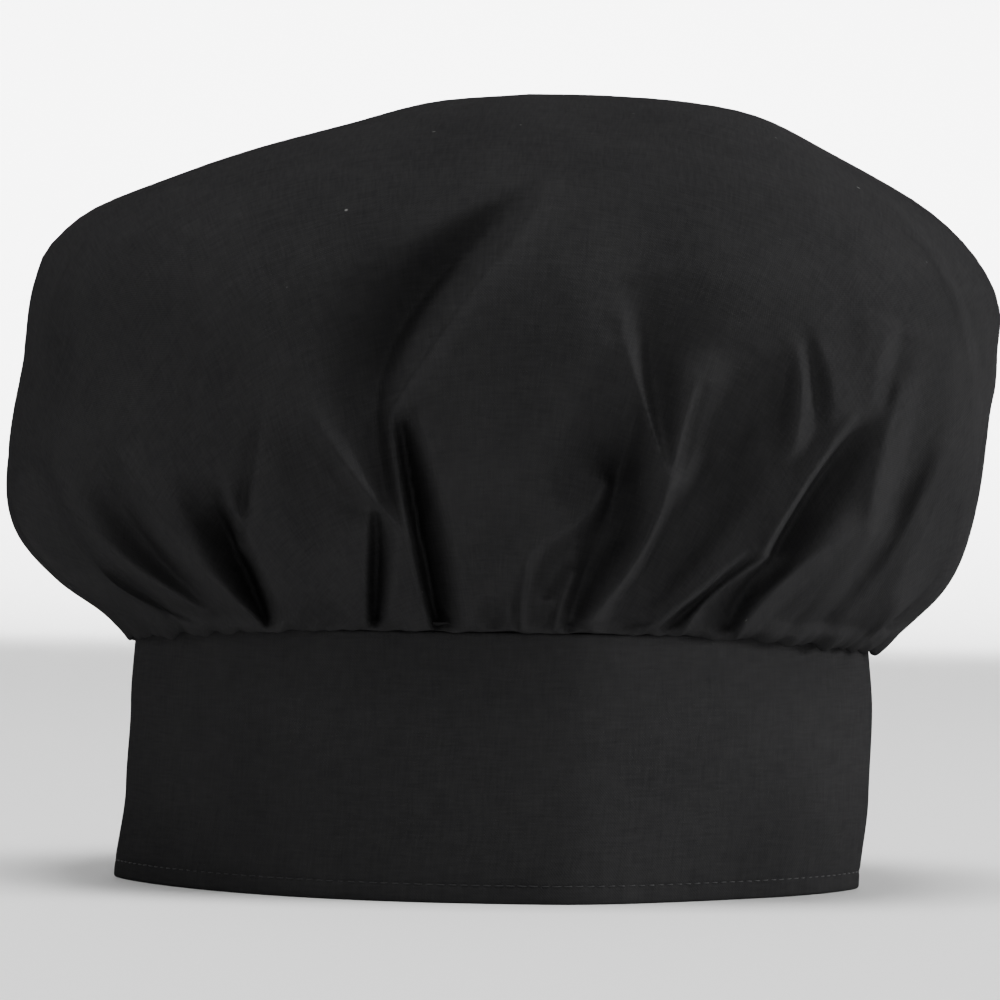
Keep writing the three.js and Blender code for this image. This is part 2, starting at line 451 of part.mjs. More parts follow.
// How firmly a line holds the cloth at a distance from it.
const holdAt = (distance, softness) => 1 / Math.hypot(distance, softness) ** FOLD_GRIP;

// How far out the cloth stands at a place of the chart, drawn between the lines near it.
function foldsOut(folds, place) {
  let pull = 0;
  let hold = holdAt(FREE_CLOTH, 0);
  for (const fold of folds) {
    const { distance, out } = nearestOnFold(fold, place);
    const weight = Math.exp(-((distance / fold.reach) ** 2)) * holdAt(distance, fold.softness);
    pull += weight * out;
    hold += weight;
  }
  return pull / hold;
}

// How far the folds move a point, straight towards or away from the viewer of each side.
function foldsMove(point, angle) {
  const move = new THREE.Vector3();
  for (const side of CHARTS) {
    const seen = smoothStep(side.seenFrom, side.seenFull, Math.cos(angle - side.turn));
    if (seen === 0) continue;
    const toViewer = new THREE.Vector3(Math.cos(side.turn), Math.sin(side.turn), 0);
    const toward = point.dot(toViewer);
    const across = point.y * toViewer.x - point.x * toViewer.y;
    const closer = VIEW_DISTANCE / (VIEW_DISTANCE - toward);
    const up = (point.z - EYE_HEIGHT) * closer + EYE_HEIGHT - BAND_HEIGHT;
    const out = foldsOut(side.folds, new THREE.Vector2(across * closer, up));
    // cloth can only fall in where it has risen clear of the band
    const room = out < 0 ? smoothStep(0, FOLD_ROOM, point.z - BAND_HEIGHT) : 1;
    move.add(toViewer.multiplyScalar(seen * room * out));
  }
  return move;
}

// The small uneven gathers along the seam, which die out above it.
const GATHER_WAVES = [
  { count: 29, phase: 0.4, share: 0.6 },
  { count: 41, phase: 2.1, share: 0.4 },
];
const GATHER_FADE = 1.6; // in levels of the crown's table

function gatherMove(angle, level) {
  const waveOf = ({ count, phase, share }) => share * Math.sin(count * angle + phase);
  const wave = GATHER_WAVES.reduce((sum, gathers) => sum + waveOf(gathers), 0);
  return GATHER_DEPTH * wave * Math.exp(-Math.max(0, level - 1) / GATHER_FADE);
}

// The crown's solid

const FOLDS_FROM = 0.3; // the level at which the folds begin
const FOLDS_FULL = 1.5;
const CLOSE_COLUMNS = 120;
const SEAM_LEVELS = [0, 0.6, 1.2, 1.8, 2.4, 3, 3.5];
const FOLD_LEVELS = [4, 4.4, 4.8, 5.2, 5.6, 6, 6.4, 6.8, 7.2, 7.6, 8.1];
const CROWN_LEVELS = [
  { columns: CLOSE_COLUMNS, levels: [...SEAM_LEVELS, ...FOLD_LEVELS] },
  { columns: CLOSE_COLUMNS / 2, levels: [8.7, 9.5, 10.2] },
  { columns: CLOSE_COLUMNS / 4, levels: [10.9, 11.5] },
];
const NORMAL_STEP = 0.03;
const FRONT_CLOSENESS = 0.4; // how much closer the columns stand at the front, and wider at the back

function columnAngle(column, columns) {
  const even = (column / columns) * FULL_TURN;
  return even - FRONT_CLOSENESS * Math.cos(even);
}

function crownOuter(angle, level) {
  const point = crownPlain(angle, level);
  const weight = smoothStep(FOLDS_FROM, FOLDS_FULL, level) * smoothStep(TOP_LEVEL, TOP_LEVEL - 2, level);
  if (weight === 0) return point;
  const around = crownPlain(angle + NORMAL_STEP, level).sub(crownPlain(angle - NORMAL_STEP, level));
  const upward = crownPlain(angle, level + NORMAL_STEP).sub(crownPlain(angle, level - NORMAL_STEP));
  const out = around.cross(upward).normalize();
  const gathered = out.multiplyScalar(gatherMove(angle, level));
  return foldsMove(point, angle).add(gathered).multiplyScalar(weight).add(point);
}

// The turned-down edge inside the band, from its free end to the band's top edge.
function seamLoop(columns, drop) {
  const inset = -BAND_WALL - SEAM_GAP;
  const pointAt = (column) => ringPoint(columnAngle(column, columns), BAND_HEIGHT - drop, inset);
  return Array.from({ length: columns }, (_, column) => pointAt(column));
}

// Moves each point of a grid of loops inward, across the cloth.
function inwardLoops(loops) {
  return loops.map((loop, row) =>
    loop.map((point, column) => {
      const near = (step, index) => {
        const other = loops[step];
        return other[Math.round((index * other.length) / loop.length) % other.length];
      };
      const beside = (step) => loop[(column + step + loop.length) % loop.length];
      const around = beside(1).clone().sub(beside(-1));
      const above = near(Math.min(loops.length - 1, row + 1), column);
      const below = near(Math.max(0, row - 1), column);
      const inward = above.clone().sub(below).cross(around).normalize();
      return point.clone().add(inward.multiplyScalar(CROWN_WALL));
    }),
  );
}

function crownGeometry() {
  const outer = [seamLoop(CLOSE_COLUMNS, SEAM_ALLOWANCE), seamLoop(CLOSE_COLUMNS, -CLEARANCE)];
  for (const { columns, levels } of CROWN_LEVELS) {
    for (const level of levels) {
      const pointAt = (column) => crownOuter(columnAngle(column, columns), level);
      outer.push(Array.from({ length: columns }, (_, column) => pointAt(column)));
    }
  }
  const inner = inwardLoops(outer);
  const top = crownPlain(0, TOP_LEVEL);
  const mesh = new LoopMesh();
  const ends = [outer, inner].map((loops, skin) => {
    const rings = loops.map((loop) => mesh.addLoop(loop));
    for (let row = 0; row < rings.length - 1; row += 1) {
      mesh.joinLoops(rings[row], rings[row + 1], skin === 1);
    }
    const pole = mesh.addPoint(top.clone().setZ(top.z - skin * CROWN_WALL));
    mesh.joinToPoint(rings[rings.length - 1], pole, skin === 1);
    return rings[0];
  });
  mesh.joinLoops(ends[1], ends[0]);
  return mesh.geometry();
}

// The hat

function piece(name, geometry, material) {
  const mesh = new THREE.Mesh(geometry, material);
  mesh.name = name;
  return mesh;
}

const hat = new THREE.Group();
hat.add(
  piece("crown", crownGeometry(), CLOTH),
  piece("band", bandGeometry(), CLOTH),
  piece("closure_tape", tapeGeometry(), TAPE_NYLON),
);

// The hat stands with the middle of its outline over the origin.
const middle = new THREE.Box3().setFromObject(hat).getCenter(new THREE.Vector3());
hat.position.set(-middle.x, -middle.y, 0);

export default hat;
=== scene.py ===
# A soft black chef hat that stands on the lower edge of its band. The script runs from the hat's own frame,
# in metres, with +X to the right, -Y out of the front and +Z up.

import math

import bpy
import numpy as np
from mathutils import Matrix, Vector


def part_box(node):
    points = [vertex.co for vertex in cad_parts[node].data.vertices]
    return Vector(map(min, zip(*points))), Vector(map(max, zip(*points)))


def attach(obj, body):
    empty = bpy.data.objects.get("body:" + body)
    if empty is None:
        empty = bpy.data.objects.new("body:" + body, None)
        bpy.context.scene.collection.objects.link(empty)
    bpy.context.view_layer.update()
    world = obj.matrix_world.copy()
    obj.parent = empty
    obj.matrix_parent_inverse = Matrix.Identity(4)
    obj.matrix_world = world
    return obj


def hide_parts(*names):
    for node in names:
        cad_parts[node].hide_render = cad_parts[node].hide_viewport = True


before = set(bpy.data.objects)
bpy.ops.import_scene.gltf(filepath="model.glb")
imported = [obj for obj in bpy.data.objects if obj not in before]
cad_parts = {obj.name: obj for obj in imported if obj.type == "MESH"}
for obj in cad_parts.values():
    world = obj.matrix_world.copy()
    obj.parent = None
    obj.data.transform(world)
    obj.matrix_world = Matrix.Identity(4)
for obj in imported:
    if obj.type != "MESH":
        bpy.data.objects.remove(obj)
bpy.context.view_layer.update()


# The band
# One long strip of black poplin, folded double over a firm interlining. It is bent into a pointed oval three
# inches tall. Its ends lap at the middle of the back, where the flap lies outside the tape and the other end.

BAND_HEIGHT = 0.076
BAND_WIDTH = 0.220
BAND_DEPTH = 0.160
BAND_WALL = 0.0022
BAND_LAP = 0.046
SIDE_SHARPNESS = 2.6
POINT_SHARPNESS = 1.25
FRONT_CORNER = 0.16  # how much the front falls back to the right of its soft corner
FRONT_CORNER_FROM = 0.16
FRONT_CORNER_TO = 0.74
FRONT_SLANT = 0.10  # how much it has fallen back at the left end
CLEARANCE = 0.0003
TAPE_THICKNESS = 0.0016
FLAP_LIFT = BAND_WALL + TAPE_THICKNESS + 2 * CLEARANCE
FLAP_RAMP = 0.036  # along which the outer end rises clear of the inner one
# level (share of the height), shift and size (shares of half the width)
BAND_SECTIONS = [
    (0.00, -0.015, 1.000),
    (0.36, 0.008, 0.998),
    (0.68, 0.016, 0.994),
    (1.00, 0.016, 0.982),
]
HEM_HEIGHT = 0.0052  # the hem's stitching, above the lower edge
STITCH_PITCH = 0.00325
BAND_STEPS = 620
PATH_STEPS = 4001
INNER_ROWS = 20  # rows of points up the band's inner face
ANGLE_STEP = 0.02

POPLIN_BLACK = (0.0115, 0.0115, 0.0120, 1)
POPLIN_WORN = (0.0230, 0.0228, 0.0232, 1)
LINT_GREY = (0.16, 0.16, 0.155, 1)
THREAD_PITCH = 0.00042
THREAD_WANDER = 0.0016  # how far the threads stray from straight lines


def ease(start, end, value):
    share = np.clip((value - start) / (end - start), 0, 1)
    return share * share * (3 - 2 * share)


def plain_ring(angle):
    """The band's outer face seen from above, without its lean."""
    across = np.cos(angle)
    roundness = np.maximum(0, 1 - np.abs(across) ** SIDE_SHARPNESS) ** (1 / POINT_SHARPNESS)
    deep = np.sign(np.sin(angle)) * roundness
    fall_back = FRONT_CORNER * ease(FRONT_CORNER_FROM, FRONT_CORNER_TO, across)
    fall_back += FRONT_SLANT * (1 - ease(-1, FRONT_CORNER_FROM, across))
    deep = np.where(deep < 0, deep * (1 - fall_back), deep)
    return across * BAND_WIDTH / 2, deep * BAND_DEPTH / 2


def band_section(height):
    """How far the band leans to the right at a height, and how much it narrows there."""
    level = np.clip(np.asarray(height, float) / BAND_HEIGHT, 0, 1)
    shift = np.full_like(level, BAND_SECTIONS[0][1])
    size = np.full_like(level, BAND_SECTIONS[0][2])
    for (low, low_shift, low_size), (high, high_shift, high_size) in zip(BAND_SECTIONS, BAND_SECTIONS[1:]):
        share = ease(low, high, level)
        inside = level >= low
        shift = np.where(inside, low_shift + (high_shift - low_shift) * share, shift)
        size = np.where(inside, low_size + (high_size - low_size) * share, size)
    return shift * BAND_WIDTH / 2, size


def ring_points(angle, height, outward):
    """Points of the ring at angles and heights, moved outward by a distance."""
    before_x, before_y = plain_ring(angle - ANGLE_STEP)
    after_x, after_y = plain_ring(angle + ANGLE_STEP)
    along = np.hypot(after_x - before_x, after_y - before_y)
    out_x = (after_y - before_y) / along
    out_y = -(after_x - before_x) / along
    x, y = plain_ring(angle)
    shift, size = band_section(height)
    height = np.broadcast_to(height, np.broadcast(angle, height).shape)
    return np.stack([x * size + shift + out_x * outward, y * size + out_y * outward, height], axis=-1)


def back_angle(across):
    """The angle at which the ring's back has a given distance to the right of its middle."""
    return math.acos(across / (BAND_WIDTH / 2))


def flap_lift(angle):
    """How far the outer end stands off the ring to clear the tape and the inner end."""
    ramp_start = 2 * math.pi + back_angle(BAND_LAP / 2 + FLAP_RAMP)
    ramp_end = 2 * math.pi + back_angle(BAND_LAP / 2 + CLEARANCE)
    return FLAP_LIFT * ease(ramp_start, ramp_end, angle)


def mesh_piece(name, points, faces, material, cloth_place=None):
    """A smooth mesh object. cloth_place says where each point lies on the flat cloth, for the weave."""
    mesh = bpy.data.meshes.new(name)
    mesh.from_pydata(np.asarray(points).reshape(-1, 3).tolist(), [], faces)
    mesh.validate()
    mesh.polygons.foreach_set("use_smooth", [True] * len(mesh.polygons))
    if cloth_place is not None:
        place = mesh.attributes.new("cloth_place", "FLOAT_VECTOR", "POINT")
        place.data.foreach_set("vector", np.asarray(cloth_place, np.float32).reshape(-1))
    mesh.materials.append(material)
    mesh.update()
    piece = bpy.data.objects.new(name, mesh)
    bpy.context.scene.collection.objects.link(piece)
    return piece


def strip_lengths(height):
    """Angles all along the strip, and how far along it each of them lies, measured at a height."""
    start = back_angle(BAND_LAP / 2)
    end = 2 * math.pi + back_angle(-BAND_LAP / 2)
    angles = np.linspace(start, end, PATH_STEPS)
    path = ring_points(angles, height, flap_lift(angles))
    steps = np.linalg.norm(np.diff(path, axis=0), axis=1)
    return angles, np.concatenate([[0], np.cumsum(steps)])


def band_strip():
    """The strip's points, section by section along its length, and their places on the flat cloth."""
    angles, length = strip_lengths(0.0)
    run = np.linspace(0, length[-1], BAND_STEPS + 1)
    # the folded ends are rounded off over the last few sections
    fold = BAND_WALL / 2
    run_start = fold * (1 - np.cos(np.linspace(0, math.pi / 2, 5)))[:-1]
    run_middle = run[(run > fold) & (run < length[-1] - fold)]
    run = np.concatenate([run_start, run_middle, length[-1] - run_start[::-1]])
    from_end = np.minimum(1, np.minimum(run, length[-1] - run) / fold)
    squeeze = np.sqrt(np.clip(1 - (1 - from_end) ** 2, 0.02, 1))
    angle = np.interp(run, length, angles)

    below_hem = [fold, 0.0022, 0.0031]
    near_hem = HEM_HEIGHT + np.array([-1.2, -0.8, -0.45, -0.2, 0.0, 0.2, 0.45, 0.8, 1.2]) * 0.001
    above_hem = np.linspace(0.0078, BAND_HEIGHT - fold, 34)
    face = np.concatenate([below_hem, near_hem, above_hem])
    turn = np.linspace(0, math.pi, 7)[1:-1]
    # each section runs up the outer face, over the top, down the inner face and round the bottom
    parts = [
        (np.zeros(len(face)), face, 1),
        (-fold + fold * np.cos(turn), BAND_HEIGHT - fold + fold * np.sin(turn), 0),
        (np.full(INNER_ROWS, -BAND_WALL), np.linspace(BAND_HEIGHT - fold, fold, INNER_ROWS), -1),
        (-fold - fold * np.cos(turn), fold - fold * np.sin(turn), 0),
    ]
    outward = np.concatenate([part[0] for part in parts])[None, :]
    height = np.concatenate([part[1] for part in parts])[None, :]
    outside = np.concatenate([np.full(len(part[0]), float(part[2])) for part in parts])[None, :]
    angle = angle[:, None]
    squeeze = squeeze[:, None]
    run = run[:, None]
    squeezed = -fold + (outward + fold) * squeeze
    level = np.clip(height, fold * (1 - squeeze), BAND_HEIGHT - fold * (1 - squeeze))
    # the hem's stitching draws the cloth in, unevenly, and the face has slow waves
    from_hem = (height - HEM_HEIGHT) / 0.0008
    wander = np.sin(run * 143 + 0.7) + 0.6 * np.sin(run * 391 + 2.0)
    draw = 0.00020 * np.exp(-(from_hem**2)) * (1 + 0.35 * np.cos(2 * math.pi * run / STITCH_PITCH))
    beside_hem = np.exp(-(((height - HEM_HEIGHT) / 0.006) ** 2))
    pucker = 0.00010 * wander * np.sin(2 * math.pi * run / 0.0104) * beside_hem
    waves = 0.0004 * np.sin(run * 31 + 0.4) + 0.00022 * np.sin(run * 88 + height * 60 + 1.1)
    waves = waves * np.sin(math.pi * height / BAND_HEIGHT)
    gathered = 0.00012 * np.sin(run * 780 + 2.2 * np.sin(run * 61)) * np.exp(-(BAND_HEIGHT - height) / 0.005)
    move = outside * (pucker - draw) + waves + gathered * (outside != 0)
    points = ring_points(angle, level, squeezed + flap_lift(angle) + move)
    place = np.stack([run + 0 * height, level + 0.2 * (outside < 0), 0 * run + 0 * height], axis=-1)
    return points, place


def add_node(tree, kind, **values):
    """A shader node with some of its inputs set, each named with _ in place of a space."""
    node = tree.nodes.new("ShaderNode" + kind)
    for name, value in values.items():
        node.inputs[name.replace("_", " ")].default_value = value
    return node


def maths(tree, operation, *values):
    """The result of a maths node. Each value is a number or another node's output."""
    node = tree.nodes.new("ShaderNodeMath")
    node.operation = operation
    for socket, value in zip(node.inputs, values):
        if isinstance(value, (int, float)):
            socket.default_value = value
        else:
            tree.links.new(value, socket)
    return node.outputs[0]


def noise(tree, place, **values):
    """How strong a noise is at a place."""
    node = add_node(tree, "TexNoise", **values)
    tree.links.new(place, node.inputs["Vector"])
    return node.outputs["Fac"]


def colour_mix(tree, share, first, second):
    """A colour between two others. The first may be another node's output."""
    node = tree.nodes.new("ShaderNodeMix")
    node.data_type = "RGBA"
    tree.links.new(share, node.inputs["Factor"])
    if isinstance(first, tuple):
        node.inputs["A"].default_value = first
    else:
        tree.links.new(first, node.inputs["A"])
    node.inputs["B"].default_value = second
    return node.outputs["Result"]


def bump(tree, height, normal=None, **values):
    """The surface's direction where a height raises it."""
    node = add_node(tree, "Bump", **values)
    tree.links.new(height, node.inputs["Height"])
    if normal is not None:
        tree.links.new(normal, node.inputs["Normal"])
    return node.outputs["Normal"]


def spread(tree, value, **values):
    """A value moved from one range to another."""
    node = add_node(tree, "MapRange", **values)
    tree.links.new(value, node.inputs["Value"])
    return node.outputs[0]


def new_material(name):
    """A material, its nodes, its shader, and the places on the flat cloth."""
    material = bpy.data.materials.new(name)
    material.use_nodes = True
    tree = material.node_tree
    place = tree.nodes.new("ShaderNodeAttribute")
    place.attribute_name = "cloth_place"
    return material, tree, tree.nodes["Principled BSDF"], place.outputs["Vector"]


def new_group(name, inputs, outputs):
    """A node group with named sockets, and its own input and output nodes."""
    group = bpy.data.node_groups.new(name, "ShaderNodeTree")
    for in_out, sockets in (("INPUT", inputs), ("OUTPUT", outputs)):
        for socket, kind in sockets.items():
            group.interface.new_socket(socket, in_out=in_out, socket_type="NodeSocket" + kind)
    return group, group.nodes.new("NodeGroupInput"), group.nodes.new("NodeGroupOutput")


def poplin_weave():
    """A plain weave. It gives the threads' height, and how light or dark each thread is."""
    sockets = {"Place": "Vector", "Threads per Metre": "Float"}
    group, given, result = new_group("plain_weave", sockets, {"Height": "Float", "Thread Tone": "Float"})

    # the threads wander a little
    wander = add_node(group, "TexNoise", Scale=55, Detail=2)
    group.links.new(given.outputs["Place"], wander.inputs["Vector"])
    moved = group.nodes.new("ShaderNodeVectorMath")
    moved.operation = "MULTIPLY_ADD"
    moved.inputs[1].default_value = (THREAD_WANDER, THREAD_WANDER, THREAD_WANDER)
    group.links.new(wander.outputs["Color"], moved.inputs[0])
    group.links.new(given.outputs["Place"], moved.inputs[2])
    apart = group.nodes.new("ShaderNodeSeparateXYZ")
    group.links.new(moved.outputs[0], apart.inputs[0])
    half_turns = maths(group, "MULTIPLY", given.outputs["Threads per Metre"], math.pi)
    warp = maths(group, "SINE", maths(group, "MULTIPLY", apart.outputs["X"], half_turns))
    weft = maths(group, "SINE", maths(group, "MULTIPLY", apart.outputs["Y"], half_turns))
    height = maths(group, "MULTIPLY_ADD", maths(group, "MULTIPLY", warp, weft), 0.5, 0.5)

    # thick and thin threads, one set each way
    tones = []
    for stretch in ((1.0, 0.09, 1.0), (0.09, 1.0, 1.0)):
        lay = add_node(group, "Mapping", Scale=stretch)
        group.links.new(moved.outputs[0], lay.inputs["Vector"])
        tones.append(noise(group, lay.outputs[0], Scale=1350, Detail=2, Roughness=0.65))
    tone = maths(group, "MULTIPLY", maths(group, "ADD", *tones), 0.5)
    raised = maths(group, "MULTIPLY_ADD", tone, 0.9, maths(group, "MULTIPLY", height, 0.55))
    group.links.new(raised, result.inputs["Height"])
    group.links.new(tone, result.inputs["Thread Tone"])
    return group


def lint_specks():
    """Tiny scattered specks of lint. It gives a mask of them."""
    group, given, result = new_group("lint_specks", {"Place": "Vector"}, {"Mask": "Float"})
    cells = add_node(group, "TexVoronoi", Scale=95)
    group.links.new(given.outputs["Place"], cells.inputs["Vector"])
    near = spread(group, cells.outputs["Distance"], From_Min=0.055, From_Max=0.02)
    apart = group.nodes.new("ShaderNodeSeparateColor")
    group.links.new(cells.outputs["Color"], apart.inputs[0])
    few = spread(group, apart.outputs["Red"], From_Min=0.90, From_Max=1.0)
    group.links.new(maths(group, "MULTIPLY", near, few), result.inputs["Mask"])
    return group


WEAVE = poplin_weave()
LINT = lint_specks()


def black_poplin(name):
    material, tree, cloth, place = new_material(name)
    cloth.inputs["IOR"].default_value = 1.0
    weave = tree.nodes.new("ShaderNodeGroup")
    weave.node_tree = WEAVE
    weave.inputs["Threads per Metre"].default_value = 1 / THREAD_PITCH
    tree.links.new(place, weave.inputs["Place"])
    thread_tone = weave.outputs["Thread Tone"]
    lint = tree.nodes.new("ShaderNodeGroup")
    lint.node_tree = LINT
    tree.links.new(place, lint.inputs["Place"])

    # lighter and darker threads, and slow changes where the cloth has been washed and handled
    blotch = noise(tree, place, Scale=16, Detail=5, Roughness=0.6)
    tone = maths(tree, "MULTIPLY_ADD", thread_tone, 1.6, blotch)
    worn = spread(tree, tone, From_Min=0.8, From_Max=1.8)
    poplin = colour_mix(tree, worn, POPLIN_BLACK, POPLIN_WORN)
    linted = colour_mix(tree, lint.outputs["Mask"], poplin, LINT_GREY)
    tree.links.new(linted, cloth.inputs["Base Color"])
    rough = spread(tree, thread_tone, To_Min=0.92, To_Max=0.70)
    tree.links.new(rough, cloth.inputs["Roughness"])

    crumple = noise(tree, place, Scale=130, Detail=4, Roughness=0.55)
    crumpled = bump(tree, crumple, Strength=0.30, Distance=0.0006)
    woven = bump(tree, weave.outputs["Height"], crumpled, Strength=0.55, Distance=0.00016)
    tree.links.new(woven, cloth.inputs["Normal"])
    return material


band_cloth = black_poplin("band_poplin")
strip_points, strip_place = band_strip()
sections, around = strip_points.shape[:2]
band_faces = []
for section in range(sections - 1):
    for index in range(around):
        following = (index + 1) % around
        first = section * around
        second = first + around
        band_faces.append((first + following, first + index, second + index, second + following))
band_faces.append(tuple(range(around)))
band_faces.append(tuple(reversed(range((sections - 1) * around, sections * around))))

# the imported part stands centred, so everything is moved by as much as the band is
cad_low, cad_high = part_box("band")
own_low = strip_points.reshape(-1, 3).min(0)
own_high = strip_points.reshape(-1, 3).max(0)
HAT_SHIFT = (np.add(cad_low, cad_high) - own_low - own_high) / 2 * np.array([1, 1, 0])

band = mesh_piece("band_cloth", strip_points + HAT_SHIFT, band_faces, band_cloth, strip_place)
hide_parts("band")
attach(band, "root")


# The hem's stitching
# A row of lockstitches in black polyester thread, five millimetres above the band's lower edge, that runs its
# whole length and down both ends. The thread is smoother than the cloth and catches more light.

THREAD_BLACK = (0.021, 0.021, 0.022, 1)
THREAD_DARK = (0.017, 0.017, 0.018, 1)
THREAD_WIDTH = 0.00036
STITCH_LENGTH = 0.0026
STITCH_SINK = 0.0003  # how far the thread goes into the cloth at a stitch's ends
STITCH_LIFT = 0.00012  # how far the thread stands off the cloth
HEM_LIFT = -0.00006  # the same at the hem, where the stitches draw the cloth in
# place along the stitch and width, as shares of its length and of the thread's width
STITCH_RINGS = [(-0.5, 0.25), (-0.42, 0.75), (-0.2, 1.0), (0.2, 1.0), (0.42, 0.75), (0.5, 0.25)]
STITCH_SIDES = 6
END_MARGIN = 0.005

thread, thread_tree, thread_shader, thread_place = new_material("polyester_thread")
thread_shader.inputs["Specular IOR Level"].default_value = 0.2
thread_shader.inputs["Roughness"].default_value = 0.5
thread_share = noise(thread_tree, thread_place, Scale=260)
thread_colour = colour_mix(thread_tree, thread_share, THREAD_DARK, THREAD_BLACK)
thread_tree.links.new(thread_colour, thread_shader.inputs["Base Color"])
twist = add_node(thread_tree, "TexWave", Scale=1400)
twist.bands_direction = "DIAGONAL"
thread_tree.links.new(thread_place, twist.inputs["Vector"])
twisted = bump(thread_tree, twist.outputs["Fac"], Strength=0.4, Distance=0.00008)
thread_tree.links.new(twisted, thread_shader.inputs["Normal"])


def stitches(name, rows, seed):
    """A mesh of stitches. Each row is a stitch's two ends and the way out of the cloth."""
    chance = np.random.default_rng(seed)
    sides = STITCH_SIDES
    points = []
    faces = []
    place = []
    for start, end, out in rows:
        middle = (start + end) / 2
        along = end - start
        size = np.linalg.norm(along)
        along = along / size
        across = np.cross(out, along)
        across /= np.linalg.norm(across)
        tilt = chance.normal(0, 0.05)
        along = along * math.cos(tilt) + across * math.sin(tilt)
        across = np.cross(out, along)
        stretch = size * (1 + chance.normal(0, 0.04))
        first = len(points)
        for where, width in STITCH_RINGS:
            sink = STITCH_SINK * abs(2 * where) ** 4
            centre = middle + along * stretch * where - out * sink
            for side in range(sides):
                turn = 2 * math.pi * side / sides
                ray = across * math.cos(turn) + out * math.sin(turn) * 0.8
                points.append(centre + ray * width * THREAD_WIDTH / 2)
                place.append((middle[0] + stretch * where, turn * 0.0004, middle[2]))
        last = len(points) - sides
        for ring in range(first, last, sides):
            for side in range(sides):
                here = ring + side
                beside = ring + (side + 1) % sides
                faces.append((here, beside, beside + sides, here + sides))
        faces.append(tuple(reversed(range(first, first + sides))))
        faces.append(tuple(range(last, last + sides)))
    return mesh_piece(name, points, faces, thread, place)


def face_spot(angle, height, outside, lift):
    """A point on the band's outer or inner face, and the way out of that face."""
    outward = float(flap_lift(angle)) + (lift if outside else -BAND_WALL - lift)
    spot = ring_points(np.array(angle), np.array(height), outward)
    beyond = ring_points(np.array(angle), np.array(height), outward + 0.001)
    out = (beyond - spot) / np.linalg.norm(beyond - spot)
    return spot + HAT_SHIFT, out if outside else -out


def level_stitches(height, runs, outside, lift):
    """A row of stitches along the band, from given places along its length."""
    rows = []
    for run in runs:
        pair = np.interp([run, run + STITCH_LENGTH], strip_runs, strip_angles)
        (start, out), (end, _) = [face_spot(float(angle), height, outside, lift) for angle in pair]
        rows.append((start, end, out))
    return rows


def upright_stitches(angle, heights, outside):
    """A row of stitches up the band, from given heights."""
    rows = []
    for height in heights:
        foot, _ = face_spot(angle, height, outside, STITCH_LIFT)
        head, out = face_spot(angle, height + STITCH_LENGTH, outside, STITCH_LIFT)
        rows.append((foot, head, out))
    return rows


strip_angles, strip_runs = strip_lengths(HEM_HEIGHT)
hem_count = int((strip_runs[-1] - 2 * END_MARGIN) / STITCH_PITCH)
end_count = int((BAND_HEIGHT - HEM_HEIGHT - 0.004) / STITCH_PITCH)
hem_runs = END_MARGIN + np.arange(hem_count) * STITCH_PITCH
end_heights = HEM_HEIGHT + 0.0008 + np.arange(end_count) * STITCH_PITCH
stitch_rows = []
for outside in (True, False):
    stitch_rows += level_stitches(HEM_HEIGHT, hem_runs, outside, HEM_LIFT)
    for run in (END_MARGIN, strip_runs[-1] - END_MARGIN):
        angle = float(np.interp(run, strip_runs, strip_angles))
        stitch_rows += upright_stitches(angle, end_heights, outside)
hem_stitches = stitches("hem_stitches", stitch_rows, 11)
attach(hem_stitches, "root")


# The closure tape
# A plain patch of black hook-and-loop tape that holds the band's lapped ends together. It is sewn on by a
# rectangle of stitches that shows on the outside of the flap.

TAPE_WIDTH = 0.032
TAPE_HEIGHT = 0.054
TAPE_MARGIN = (BAND_HEIGHT - TAPE_HEIGHT) / 2
TAPE_COLUMNS = 33
TAPE_ROWS = 55  # on each of its two sides
TAPE_FUZZ = 0.00008
SEAM_MARGIN = 0.0015  # from the tape's edge to the stitches that hold it
PILE_DARK = (0.006, 0.006, 0.006, 1)
PILE_LIGHT = (0.035, 0.035, 0.035, 1)

pile, pile_tree, pile_shader, pile_place = new_material("tape_pile")
pile_shader.inputs["Roughness"].default_value = 0.8
pile_shader.inputs["Sheen Weight"].default_value = 0.3
pile_loops = noise(pile_tree, pile_place, Scale=2100, Detail=3)
pile_colour = colour_mix(pile_tree, pile_loops, PILE_DARK, PILE_LIGHT)
pile_tree.links.new(pile_colour, pile_shader.inputs["Base Color"])
pile_raised = bump(pile_tree, pile_loops, Strength=0.8, Distance=0.0004)
pile_tree.links.new(pile_raised, pile_shader.inputs["Normal"])

tape_loop = 2 * TAPE_ROWS
tape_angles = np.linspace(back_angle(TAPE_WIDTH / 2), back_angle(-TAPE_WIDTH / 2), TAPE_COLUMNS)[:, None]
tape_levels = np.linspace(TAPE_MARGIN, TAPE_MARGIN + TAPE_HEIGHT, TAPE_ROWS)
tape_profile = np.concatenate([tape_levels, tape_levels[::-1]])[None, :]
tape_sides = np.repeat([CLEARANCE + TAPE_THICKNESS, CLEARANCE], TAPE_ROWS)[None, :]
tape_fuzz = np.random.default_rng(5).uniform(-TAPE_FUZZ, 0.0, (TAPE_COLUMNS, tape_loop))
tape_fuzz *= np.sign(tape_sides - 0.001)
tape_points = ring_points(tape_angles, tape_profile, tape_sides + tape_fuzz) + HAT_SHIFT
tape_place = np.stack(np.broadcast_arrays(tape_angles * BAND_WIDTH / 2, tape_profile, tape_sides), axis=-1)
tape_faces = []
last_column = (TAPE_COLUMNS - 1) * tape_loop
for first in range(0, last_column, tape_loop):
    for index in range(tape_loop):
        here = first + index
        beside = first + (index + 1) % tape_loop
        tape_faces.append((beside, here, here + tape_loop, beside + tape_loop))
